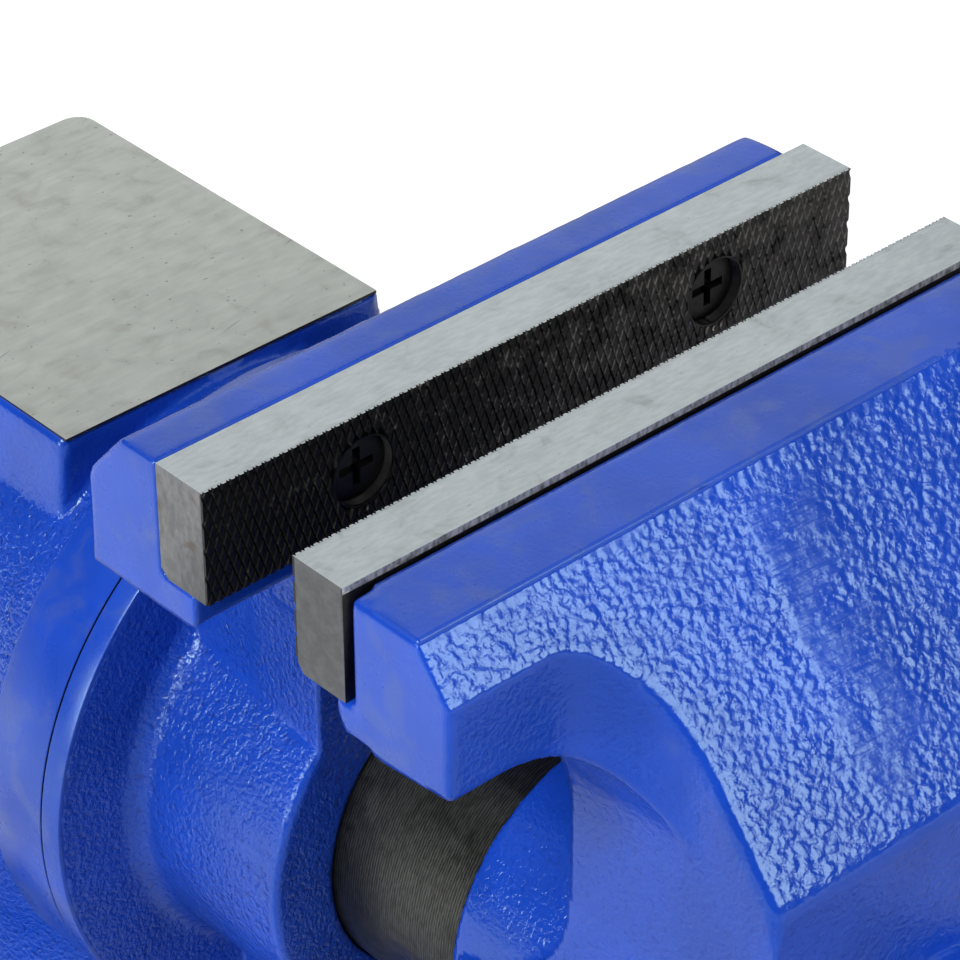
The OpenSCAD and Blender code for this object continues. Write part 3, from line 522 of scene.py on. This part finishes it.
def storeMask(mesh, name, values):
    mesh.attributes.new(name, "FLOAT", "POINT").data.foreach_set("value", values.astype(np.float32))


def maskOf(mesh, name):
    values = np.empty(len(mesh.vertices), np.float32)
    mesh.attributes[name].data.foreach_get("value", values)
    return values.astype(float)


def shadeSmooth(mesh):
    mesh.polygons.foreach_set("use_smooth", np.ones(len(mesh.polygons), bool))


def shadeByAngle(mesh, angle=35):
    shadeSmooth(mesh)
    mesh.set_sharp_from_angle(angle=math.radians(angle))


def giveFinishes(mesh, *finishes):
    for finish in finishes:
        mesh.materials.append(finish)


def showPiece(name, mesh, body, slot, *nodes):
    piece = bpy.data.objects.new(name, mesh)
    scene.collection.objects.link(piece)
    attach(piece, body)
    if nodes:
        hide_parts(*nodes)


# castings: the CAD solid remeshed, its edges softened and its skin roughened as cast iron under paint

def neighbours(mesh):
    ends = np.empty(len(mesh.edges) * 2, np.int32)
    mesh.edges.foreach_get("vertices", ends)
    a, b = ends.reshape(-1, 2).T
    here, there = np.concatenate((a, b)), np.concatenate((b, a))
    return here, there, np.maximum(np.bincount(here, minlength=len(mesh.vertices)), 1)


def meanOf(values, here, there, count):
    columns = [np.bincount(here, values[there, k], len(count)) for k in range(values.shape[1])]
    return np.stack(columns, 1) / count[:, None]


def soften(mesh, points, passes, share=1.0):
    here, there, count = neighbours(mesh)
    pull = 0.5 * np.reshape(share, (-1, 1))
    for _ in range(passes):
        points = points + pull * (meanOf(points, here, there, count) - points)
    return points


def smoothStep(low, high, value):
    t = np.clip((value - low) / (high - low), 0, 1)
    return t * t * (3 - 2 * t)


def lumps(points, size, seed, basis="PERLIN_ORIGINAL"):
    shift = Vector((seed * 0.37, seed * 0.61, seed * 0.83))
    return np.array([noise.noise(Vector(p) + shift, noise_basis=basis) for p in points / size])


def edgeShare(mesh, points, spread, low=0.02 * mm, high=0.09 * mm):
    here, there, count = neighbours(mesh)
    bend = np.linalg.norm(meanOf(points, here, there, count) - points, axis=1)
    share = smoothStep(low, high, bend)[:, None]
    for _ in range(spread):
        share = np.maximum(share, 0.9 * meanOf(share, here, there, count))
    return share[:, 0]


def axisRadius(points):
    return np.hypot(points[:, 0], points[:, 2] - axisHeight)


def setRadius(points, chosen, radius):
    scale = np.where(chosen, radius / np.maximum(axisRadius(points), 1e-6), 1.0)
    points[:, 0] *= scale
    points[:, 2] = axisHeight + (points[:, 2] - axisHeight) * scale


def openBore(points, radius, reach):
    r = axisRadius(points)
    setRadius(points, (r < radius) & (r > radius - reach), radius)


def shrinkAround(points, radius, behind):
    r = axisRadius(points)
    setRadius(points, (points[:, 1] > behind) & (r > radius) & (r < radius + 2 * mm), radius)


def finishCasting(mesh, name, values, points, rough, rise=0.0):
    normals = normalsOf(mesh)
    wave = 0.5 * lumps(points, values["lump"], 1) + 0.5 * lumps(points, values["wave"], 2) - 0.35
    points = points + (values["depth"] * rough * wave + rise)[:, None] * normals
    points = np.clip(points, cadBox[0], cadBox[1])
    setPoints(mesh, points)
    storeMask(mesh, "rough", rough)
    giveFinishes(mesh, cobaltPaint)
    shadeSmooth(mesh)
    print("vise:", name, len(mesh.polygons), "faces")
    return points


def showBareEnd(name, node, cut, body):
    mesh = meshOf(cadPart(node, cut, False), name)
    giveFinishes(mesh, steels["turnedBar"])
    shadeByAngle(mesh)
    showPiece(name, mesh, body, "bare_steel")


def makeRing(name, body, profile, seamShadeSide, steps=256):
    ring = bmesh.new()
    addRing(ring, 0, axisHeight, profile, steps)
    bmesh.ops.recalc_face_normals(ring, faces=ring.faces[:])
    mesh = meshOf(ring, name)
    storeMask(mesh, "rough", np.full(len(mesh.vertices), 0.04))
    storeMask(mesh, "satin", np.ones(len(mesh.vertices)))
    giveFinishes(mesh, cobaltPaint, steels["blackOxide"])
    # painted shade: the ring face towards the seam takes black oxide, a painted shadow in the gap between
    # flange and collar
    for face in mesh.polygons:
        face.material_index = 1 if face.normal.y * seamShadeSide > 0.9 else 0
    shadeByAngle(mesh)
    showPiece(name, mesh, body, "blue_paint")


def jawMasks(points, normals):
    z = points[:, 2]
    flat = smoothStep(0.80, 0.93, normals[:, 2]) * smoothStep(jawTop - 6 * mm, jawTop - 3 * mm, z)
    ends = smoothStep(0.85, 0.95, np.abs(normals[:, 0])) * smoothStep(jawTop - 34 * mm, jawTop - 30 * mm, z)
    return flat, ends


# movable jaw: a hammered slope with a brushed streak, and a bare bar behind the paint

jawCasting = {
    "cell": 1.07 * mm,
    "softPasses": 1,
    "lump": 2.8 * mm,
    "wave": 9.0 * mm,
    "depth": 0.16 * mm,
    "paintEnd": -139.0 * mm,
    "grooveAt": -160.6 * mm,
    "endsFrom": 70 * mm,
    "cornerDeep": 30 * mm,
    "archBelow": 18 * mm,
    "slopeNormal": (0.0, -0.785, 0.619),
    "peenSize": 2.0 * mm,
    "peenDepth": 0.14 * mm,
    "flatTop": 275 * mm,
    "boreRadius": 15.35 * mm,
    "boreReach": 1.2 * mm,
    "brushedAlong": (-180 * mm, -213 * mm),
    "brushedAcross": (-8.5 * mm, 8.5 * mm),
}


def splitSlope(mesh, slopeNormal):
    fineMesh = bmesh.new()
    fineMesh.from_mesh(mesh)
    aim = Vector(slopeNormal)
    onSlope = [f for f in fineMesh.faces if f.normal.dot(aim) > 0.85]
    edges = list({e for f in onSlope for e in f.edges})
    bmesh.ops.subdivide_edges(fineMesh, edges=edges, cuts=1, use_grid_fill=True)
    fineMesh.to_mesh(mesh)
    fineMesh.free()


def crispBrow(points, aim, plane, flatTop):
    y, z = points[:, 1], points[:, 2]
    brow = (plane - aim[2] * flatTop) / aim[1]
    atBrow = (z > flatTop - 1.0 * mm) & (np.abs(y - brow + 0.1 * mm) < 0.55 * mm)
    onFlat = (z > flatTop - 0.6 * mm) & (y > brow) & (y < brow + 3 * mm) & ~atBrow
    points[:, 1] = np.where(atBrow, brow, y)
    points[:, 2] = np.where(atBrow | onFlat, flatTop, z)


def peened(points, size):
    warp = np.stack([lumps(points, 1.3 * size, k) for k in (5, 6, 7)], 1)
    cells = lumps(points + 0.35 * size * warp, size, 4, "VORONOI_F2F1")
    share = (cells - cells.min()) / (np.percentile(cells, 95) - cells.min())
    return smoothStep(-0.1, 0.8, share) - 1 + 0.35 * lumps(points, 2.6 * size, 8)


def brushedStreak(points, slope, values):
    (start, stop), (left, right) = values["brushedAlong"], values["brushedAcross"]
    y = points[:, 1]
    across = points[:, 0] + 1.0 * mm * lumps(points, 4 * mm, 9)
    leftEdge = smoothStep(left - 1.2 * mm, left + 1.2 * mm, across)
    rightEdge = smoothStep(right + 5 * mm, right - 5 * mm, across)
    streak = leftEdge * rightEdge * slope
    streak *= smoothStep(stop - 5 * mm, stop + 5 * mm, y) * smoothStep(start + 3 * mm, start - 3 * mm, y)
    return streak * smoothStep(-0.7, 0.0, lumps(points, 7 * mm, 13))


def shapeJaw(mesh, aim, values):
    points = soften(mesh, pointsOf(mesh), values["softPasses"])
    half, y, z = np.abs(points[:, 0]), points[:, 1], points[:, 2]
    inGroove = (y > values["grooveAt"] - 5 * mm) & (y < values["grooveAt"] + 1 * mm)
    corner = inGroove & (half > values["endsFrom"]) & (z > jawTop - values["cornerDeep"])
    points = soften(mesh, points, 6, corner)
    setPoints(mesh, points)
    level = points @ aim
    plane = np.median(level[normalsOf(mesh) @ aim > 0.99])
    nearSlope = np.abs(level - plane) < 4 * mm
    arch = nearSlope & (half < values["endsFrom"]) & (z < jawTop - values["archBelow"])
    lip = arch * edgeShare(mesh, points, 3)
    points = soften(mesh, points, 14, lip)
    crispBrow(points, aim, plane, values["flatTop"])
    openBore(points, values["boreRadius"], values["boreReach"])
    setPoints(mesh, points)
    storeMask(mesh, "lip", lip)
    return plane


def dressJaw(mesh, aim, plane, values):
    points, normals = pointsOf(mesh), normalsOf(mesh)
    flat, ends = jawMasks(points, normals)
    edge = edgeShare(mesh, points, 2)
    offPlane = np.abs(points @ aim - plane)
    slope = smoothStep(0.72, 0.86, normals @ aim) * smoothStep(1.2 * mm, 0.5 * mm, offPlane)
    flat *= 1 - slope
    brushed = brushedStreak(points, slope, values)
    lip = smoothStep(0.1, 0.8, maskOf(mesh, "lip"))
    peen = slope * (1 - 0.85 * lip) * (1 - 0.8 * brushed)
    rough = (0.5 - 0.3 * slope) * (1 - 0.9 * flat) * (1 - 0.95 * ends)
    rough = rough * (1 - 0.7 * edge) * (1 - 0.85 * brushed)
    rise = values["peenDepth"] * peen * peened(points, values["peenSize"])
    finishCasting(mesh, "jawCasting", values, points, rough, rise)
    storeMask(mesh, "brushed", brushed)
    storeMask(mesh, "satin", np.maximum(flat, ends))


def makeJawCasting(values):
    aim = np.array(values["slopeNormal"])
    mesh = remeshed(meshOf(cadPart("movable_jaw", values["paintEnd"], True), "jawCasting"), values["cell"])
    plane = shapeJaw(mesh, aim, values)
    splitSlope(mesh, values["slopeNormal"])
    dressJaw(mesh, aim, plane, values)
    showPiece("jawCasting", mesh, "jaw", "blue_paint", "movable_jaw")
    showBareEnd("slideBar", "movable_jaw", values["paintEnd"], "jaw")


# rotating head: the fixed jaw and its neck, with a crisp ring at the flange

headCasting = {
    "cell": 0.95 * mm,
    "softPasses": 1,
    "lump": 2.8 * mm,
    "wave": 9.0 * mm,
    "depth": 0.20 * mm,
    "jawBack": -94 * mm,
    "neckHalf": 37.5 * mm,
    "neckFront": -107.3 * mm,
    "neckTaper": 0.0843,
    "neckHeights": (186 * mm, 220 * mm),
    "flangeFront": -66.4 * mm,
    "flangeBack": -61.3 * mm,
    "flangeRadius": 68 * mm,
    "flangeDeep": 8 * mm,
    "boreRadius": 35.3 * mm,
    "boreReach": 1.2 * mm,
}


def evenNeck(mesh, points, values):
    setPoints(mesh, points)
    low, high = values["neckHeights"]
    half, y, z = np.abs(points[:, 0]), points[:, 1], points[:, 2]
    narrowing = values["neckTaper"] * np.maximum(y - values["neckFront"], 0)
    onSide = (half > values["neckHalf"] - 1.6 * mm) & (half < values["neckHalf"] + 6 * mm)
    onSide &= (z > low) & (z < high)
    upright = smoothStep(0.5, 0.3, np.abs(normalsOf(mesh)[:, 2])) * (y < values["jawBack"] + 0.8 * mm)
    excess = np.clip(half - values["neckHalf"] + narrowing, 0, narrowing)
    points[:, 0] -= np.sign(points[:, 0]) * excess * upright * onSide
    seam = onSide * smoothStep(5 * mm, 2 * mm, np.abs(y - values["jawBack"]))
    return soften(mesh, points, 8, seam)


def shapeHead(mesh, values):
    points = soften(mesh, pointsOf(mesh), values["softPasses"])
    behind = smoothStep(values["jawBack"] - 16 * mm, values["jawBack"] - 9 * mm, points[:, 1])
    behind *= smoothStep(jawTop - 34 * mm, jawTop - 14 * mm, points[:, 2])
    points = soften(mesh, points, 4, behind)
    points = evenNeck(mesh, points, values)
    openBore(points, values["boreRadius"], values["boreReach"])
    setPoints(mesh, points)
    return points


def makeHeadCasting(values):
    cut = values["flangeBack"] + 0.05 * mm
    mesh = remeshed(meshOf(cadPart("rotating_head", cut, True), "headCasting"), values["cell"])
    points = shapeHead(mesh, values)
    normals = normalsOf(mesh)
    flat, ends = jawMasks(points, normals)
    edge = edgeShare(mesh, points, 2)
    ledge = smoothStep(-0.85, -0.95, normals[:, 1])
    ledge *= smoothStep(jawTop - 34 * mm, jawTop - 31 * mm, points[:, 2])
    rough = (1 - 0.92 * flat) * (1 - 0.95 * ends) * (1 - 0.6 * edge) * (1 - 0.8 * ledge)
    points = finishCasting(mesh, "headCasting", values, points, rough)
    storeMask(mesh, "satin", np.maximum(flat, ends))
    r, front, back = values["flangeRadius"], values["flangeFront"], values["flangeBack"]
    shrinkAround(points, r - 0.7 * mm, front - 1 * mm)
    points[:, 1] = np.minimum(points[:, 1], back)
    setPoints(mesh, points)
    showPiece("headCasting", mesh, "head", "blue_paint", "rotating_head")
    inner = r - values["flangeDeep"]
    makeRing("headFlange", "head", [
        (inner, front + 0.6 * mm), (r - 1.9 * mm, front + 0.6 * mm), (r - 1.3 * mm, front + 0.1 * mm),
        (r - 0.7 * mm, front), (r - 0.2 * mm, front + 0.15 * mm), (r, front + 0.6 * mm),
        (r, back - 0.12 * mm), (r - 0.12 * mm, back), (inner, back)], 1)
    showBareEnd("headSleeve", "rotating_head", cut, "head")


# body: the barrel with a crisp collar and a ground anvil face

bodyCasting = {
    "cell": 1.45 * mm,
    "softPasses": 2,
    "lump": 3.2 * mm,
    "wave": 9.0 * mm,
    "depth": 0.24 * mm,
    "collarRadius": 68 * mm,
    "collarEnd": -44.9 * mm,
    "front": -60.9 * mm,
    "boreRadius": 50.4 * mm,
    "boreReach": 1.6 * mm,
    "barrelRadius": 62 * mm,
    "anvilTop": 224.5 * mm,
    "anvilDeep": 30 * mm,
    "anvilFrom": -36 * mm,
    "anvilTo": 58 * mm,
    "anvilHalf": 38.75 * mm,
    "anvilSpread": 0.1,
    "rearRound": 4.5 * mm,
    "capDeep": 0.6 * mm,
}


def sinkCollar(points, values):
    r, front = values["collarRadius"], values["front"]
    onCollar = (points[:, 1] < values["collarEnd"] - 0.5 * mm) & (axisRadius(points) < r + 2 * mm)
    sunk = points[onCollar]
    shrinkAround(sunk, r - 0.6 * mm, front - 1 * mm)
    sunk[:, 1] = np.maximum(sunk[:, 1], front + 0.5 * mm)
    points[onCollar] = sunk


def roundRear(points, values):
    rear = values["rearRound"]
    half = values["anvilHalf"] + values["anvilSpread"] * (values["anvilTop"] - points[:, 2]) - rear
    across = np.abs(points[:, 0]) - half
    along = points[:, 1] - values["anvilTo"] + rear
    away = np.hypot(across, along)
    proud = axisRadius(points) > values["barrelRadius"] + 0.4 * mm
    high = points[:, 2] > values["anvilTop"] - values["anvilDeep"]
    near = (away > rear) & (away < 1.6 * rear)
    corner = (across > 0) & (along > 0) & near & proud & high
    pull = np.where(corner, rear / np.maximum(away, 1e-6), 1.0)
    points[:, 0] = np.where(corner, np.sign(points[:, 0]) * (half + across * pull), points[:, 0])
    points[:, 1] = np.where(corner, values["anvilTo"] - rear + along * pull, points[:, 1])


def makeAnvilFace(values):
    cap = cadSolid("body")
    level = values["anvilTop"]
    ground = [f for f in cap.faces if f.normal.z >= 0.9999]
    ground = {f for f in ground if abs(f.calc_center_median().z - level) <= 0.005 * mm}
    bmesh.ops.delete(cap, geom=[f for f in cap.faces if f not in ground], context="FACES")
    bmesh.ops.dissolve_faces(cap, faces=cap.faces[:])
    rear = [v for v in cap.verts if v.co.y > values["anvilTo"] - 0.1 * mm]
    bmesh.ops.bevel(cap, geom=rear, offset=values["rearRound"], segments=7, affect="VERTICES", profile=0.5)
    made = bmesh.ops.extrude_face_region(cap, geom=cap.faces[:], use_keep_orig=True)
    for vert in made["geom"]:
        if isinstance(vert, bmesh.types.BMVert):
            vert.co.z -= values["capDeep"]
    bmesh.ops.recalc_face_normals(cap, faces=cap.faces[:])
    mesh = meshOf(cap, "anvilFace")
    giveFinishes(mesh, steels["anvilSteel"], steels["blackOxide"])
    for face in mesh.polygons:
        face.material_index = 0 if face.normal.z > 0.9 else 1
    showPiece("anvilFace", mesh, "body", "bare_steel")


def makeBodyCasting(values):
    mesh = remeshed(meshOf(cadSolid("body"), "bodyCasting"), values["cell"])
    points = soften(mesh, pointsOf(mesh), values["softPasses"])
    openBore(points, values["boreRadius"], values["boreReach"])
    setPoints(mesh, points)
    y, z, level = points[:, 1], points[:, 2], values["anvilTop"]
    onAnvil = (y > values["anvilFrom"] - 2 * mm) & (y < values["anvilTo"] + 2 * mm)
    top = smoothStep(level - 1.8 * mm, level - 0.4 * mm, z) * onAnvil
    upper = smoothStep(level - 26 * mm, level - 8 * mm, z) * onAnvil
    rough = (1 - 0.75 * upper) * (1 - 0.97 * top)
    points = finishCasting(mesh, "bodyCasting", values, points, rough)
    sinkCollar(points, values)
    capped = onAnvil & (points[:, 2] > level - 3 * mm)
    points[capped, 2] = np.minimum(points[capped, 2], level - 0.3 * mm)
    roundRear(points, values)
    setPoints(mesh, points)
    showPiece("bodyCasting", mesh, "body", "blue_paint", "body")
    r, front, back = values["collarRadius"], values["front"], values["collarEnd"]
    inner = values["boreRadius"] + 0.3 * mm
    makeRing("bodyCollar", "body", [
        (inner, front), (r - 0.12 * mm, front), (r, front + 0.12 * mm),
        (r, back - 0.8 * mm), (r - 0.25 * mm, back - 0.25 * mm), (r - 0.8 * mm, back),
        (r - 2 * mm, back + 0.2 * mm), (inner, back + 0.2 * mm)], -1)
    makeAnvilFace(values)


plainCastings = {
    "baseCasting": {
        "node": "swivel_base", "body": "base", "cell": 1.7 * mm, "softPasses": 2,
        "lump": 3.4 * mm, "wave": 9.0 * mm, "depth": 0.22 * mm, "rough": 0.8},
    "coverCasting": {
        "node": "rear_cover", "body": "head", "cell": 1.4 * mm, "softPasses": 2,
        "lump": 3.0 * mm, "wave": 9.0 * mm, "depth": 0.20 * mm, "rough": 0.7},
}


def makePlainCasting(name, values):
    mesh = remeshed(meshOf(cadSolid(values["node"]), name), values["cell"])
    points = soften(mesh, pointsOf(mesh), values["softPasses"])
    setPoints(mesh, points)
    rough = values["rough"] * (1 - 0.7 * edgeShare(mesh, points, 1, 0.03 * mm, 0.12 * mm))
    finishCasting(mesh, name, values, points, rough)
    showPiece(name, mesh, values["body"], "blue_paint", values["node"])


makeJawCasting(jawCasting)
makeHeadCasting(headCasting)
makeBodyCasting(bodyCasting)
for castingName, values in plainCastings.items():
    makePlainCasting(castingName, values)


# jaw plates: ground steel with a raised knurl and smooth rims around the screws

jawPlates = {
    "diamondWide": 1.85 * mm,
    "diamondHigh": 5.4 * mm,
    "crest": 0.68,
    "depth": 0.42 * mm,
    "sunk": 0.06 * mm,
    "screwAcross": 41 * mm,
    "screwBelowTop": 11.5 * mm,
    "sinkRadius": 6.5 * mm,
    "rim": 0.30 * mm,
    "rimBelowFace": 0.02 * mm,
    "backShows": 1.3 * mm,
}


def screwHoles(values, high):
    return [Vector((side * values["screwAcross"], 0, high.z - values["screwBelowTop"])) for side in (-1, 1)]


def inHole(x, z, holes, radius):
    return any(math.hypot(x - h.x, z - h.z) < radius for h in holes)


def clearHoles(vert, holes, radius):
    for hole in holes:
        away = Vector((vert.co.x - hole.x, 0, vert.co.z - hole.z))
        if away.length < radius:
            edge = hole + away.normalized() * radius
            vert.co.x, vert.co.z = edge.x, edge.z


def addDiamond(knurl, rings, holes, holeRadius):
    foot, top = ([knurl.verts.new(place) for place in ring] for ring in rings)
    for vert in foot + top:
        clearHoles(vert, holes, holeRadius)
    knurl.faces.new(foot)
    knurl.faces.new(top)
    for k in range(4):
        knurl.faces.new((foot[k], foot[(k + 1) % 4], top[(k + 1) % 4], top[k]))


def knurlSolid(values, low, high, faceAt, outward):
    knurl = bmesh.new()
    stepX, stepZ = values["diamondWide"] / 2, values["diamondHigh"] / 2
    base = faceAt - outward * (values["depth"] + values["sunk"])
    across, tall = int((high.x - low.x) / stepX / 2) + 2, int((high.z - low.z) / stepZ) + 2
    corners = ((-1, 0), (0, -1), (1, 0), (0, 1))
    holes, holeRadius = screwHoles(values, high), values["sinkRadius"] + values["rim"]
    for i in range(-across, across + 1):
        for j in range(tall + 1):
            x, z = i * stepX, low.z + j * stepZ
            if (i + j) % 2 or inHole(x, z, holes, holeRadius):
                continue
            rings = [
                [(x + reach * a * stepX, y, z + reach * b * stepZ) for a, b in corners]
                for reach, y in ((1, base), (values["crest"], faceAt))]
            addDiamond(knurl, rings, holes, holeRadius)
    for place, away in (
            ((low.x, 0, 0), (-1, 0, 0)), ((high.x, 0, 0), (1, 0, 0)),
            ((0, 0, low.z), (0, 0, -1)), ((0, 0, high.z), (0, 0, 1))):
        bmesh.ops.edgenet_fill(knurl, edges=sliceAt(knurl, place, away))
    bmesh.ops.recalc_face_normals(knurl, faces=knurl.faces[:])
    return knurl


def makeKnurlPiece(name, body, knurl):
    mesh = meshOf(knurl, name)
    giveFinishes(mesh, knurledFace, steels["plateSteel"], knurlGrooveLit)
    # painted highlight: the side walls of the diamonds take knurlGrooveLit
    upperEnd, litGroove = 1, 2
    for face in mesh.polygons:
        if face.normal.z > 0.9:
            face.material_index = upperEnd
        elif abs(face.normal.y) <= 0.9:
            face.material_index = litGroove
    showPiece(name, mesh, body, "bare_steel")


def makeHoleRims(name, body, values, high, faceAt, outward, steps=48):
    rims = bmesh.new()
    near, far = values["sinkRadius"], values["sinkRadius"] + values["rim"]
    deep = faceAt - outward * (values["depth"] + values["sunk"])
    proud = faceAt - outward * values["rimBelowFace"]
    for hole in screwHoles(values, high):
        addRing(rims, hole.x, hole.z, ((near, deep), (far, deep), (far, proud), (near, proud)), steps)
    bmesh.ops.recalc_face_normals(rims, faces=rims.faces[:])
    mesh = meshOf(rims, name)
    giveFinishes(mesh, knurledFace)
    shadeByAngle(mesh)
    showPiece(name, mesh, body, "bare_steel")


def makeJawPlate(name, node, body, outward, endFinish, values):
    low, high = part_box(node)
    faceAt = low.y if outward < 0 else high.y
    plate = cadSolid(node)
    onFace = [v for v in plate.verts if abs(v.co.y - faceAt) < 0.01 * mm]
    faceLow = Vector((low.x, low.y, min(v.co.z for v in onFace)))
    for vert in onFace:
        vert.co.y = faceAt - outward * values["depth"]
    shownTo = high.z - values["backShows"]
    sliceAt(plate, (0, 0, shownTo), (0, 0, 1), False)
    bmesh.ops.recalc_face_normals(plate, faces=plate.faces[:])
    mesh = meshOf(plate, name)
    giveFinishes(
        mesh, steels["plateSteel"], knurledFace, steels[endFinish], steels["plateBack"], steels["shadeBlack"])
    # painted shade: dark is the near-black shadeBlack, given to the counterbore walls and to the plate's back
    # below the shown band
    knurled, cutEnd, shownBack, dark = range(1, 5)
    holes = screwHoles(values, high)
    for face in mesh.polygons:
        if face.normal.y * outward > 0.9:
            face.material_index = knurled
        elif abs(face.normal.x) > 0.9 and abs(face.center.x) > high.x - 0.1 * mm:
            face.material_index = cutEnd
        elif inHole(face.center.x, face.center.z, holes, values["sinkRadius"]):
            face.material_index = dark
        elif face.normal.z < 0.9 or face.center.z < high.z - 0.1 * mm:
            face.material_index = shownBack if face.center.z > shownTo else dark
    shadeByAngle(mesh)
    showPiece(name, mesh, body, "bare_steel", node)
    makeKnurlPiece(name + "Knurl", body, knurlSolid(values, faceLow, high, faceAt, outward))
    makeHoleRims(name + "Rims", body, values, high, faceAt, outward)


makeJawPlate("fixedPlate", "fixed_jaw_plate", "head", -1, "sawnEnd", jawPlates)
makeJawPlate("movablePlate", "movable_jaw_plate", "jaw", 1, "cutEnd", jawPlates)
print("vise: jaw plates knurled")


# nodes whose CAD shape is right keep it and take a finish

nodeFinishes = {
    # the sunk plate screws take painted shade, near-black beyond their own black oxide
    "shadeBlack": ["fixed_plate_screws", "movable_plate_screws"],
    "blackOxide": [
        "fixed_pipe_screws", "movable_pipe_screws", "fixed_pipe_jaw", "movable_pipe_jaw", "cover_screws",
        "nut_screws", "key_screw", "collar_pin", "left_handle_cap", "right_handle_cap"],
    "forgedSteel": [
        "left_lock_lever", "right_lock_lever", "head_lock_lever", "lock_bolts", "lock_washers",
        "main_screw", "retaining_collar", "guide_key"],
    "brightSteel": ["handle_bar"],
    "bronzeBush": ["main_nut", "thrust_washer", "head_lock_shoe"],
}
for finishName, nodes in nodeFinishes.items():
    for node in nodes:
        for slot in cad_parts[node].material_slots:
            slot.link = "OBJECT"
            slot.material = steels[finishName]
print("vise: carried-over nodes finished")
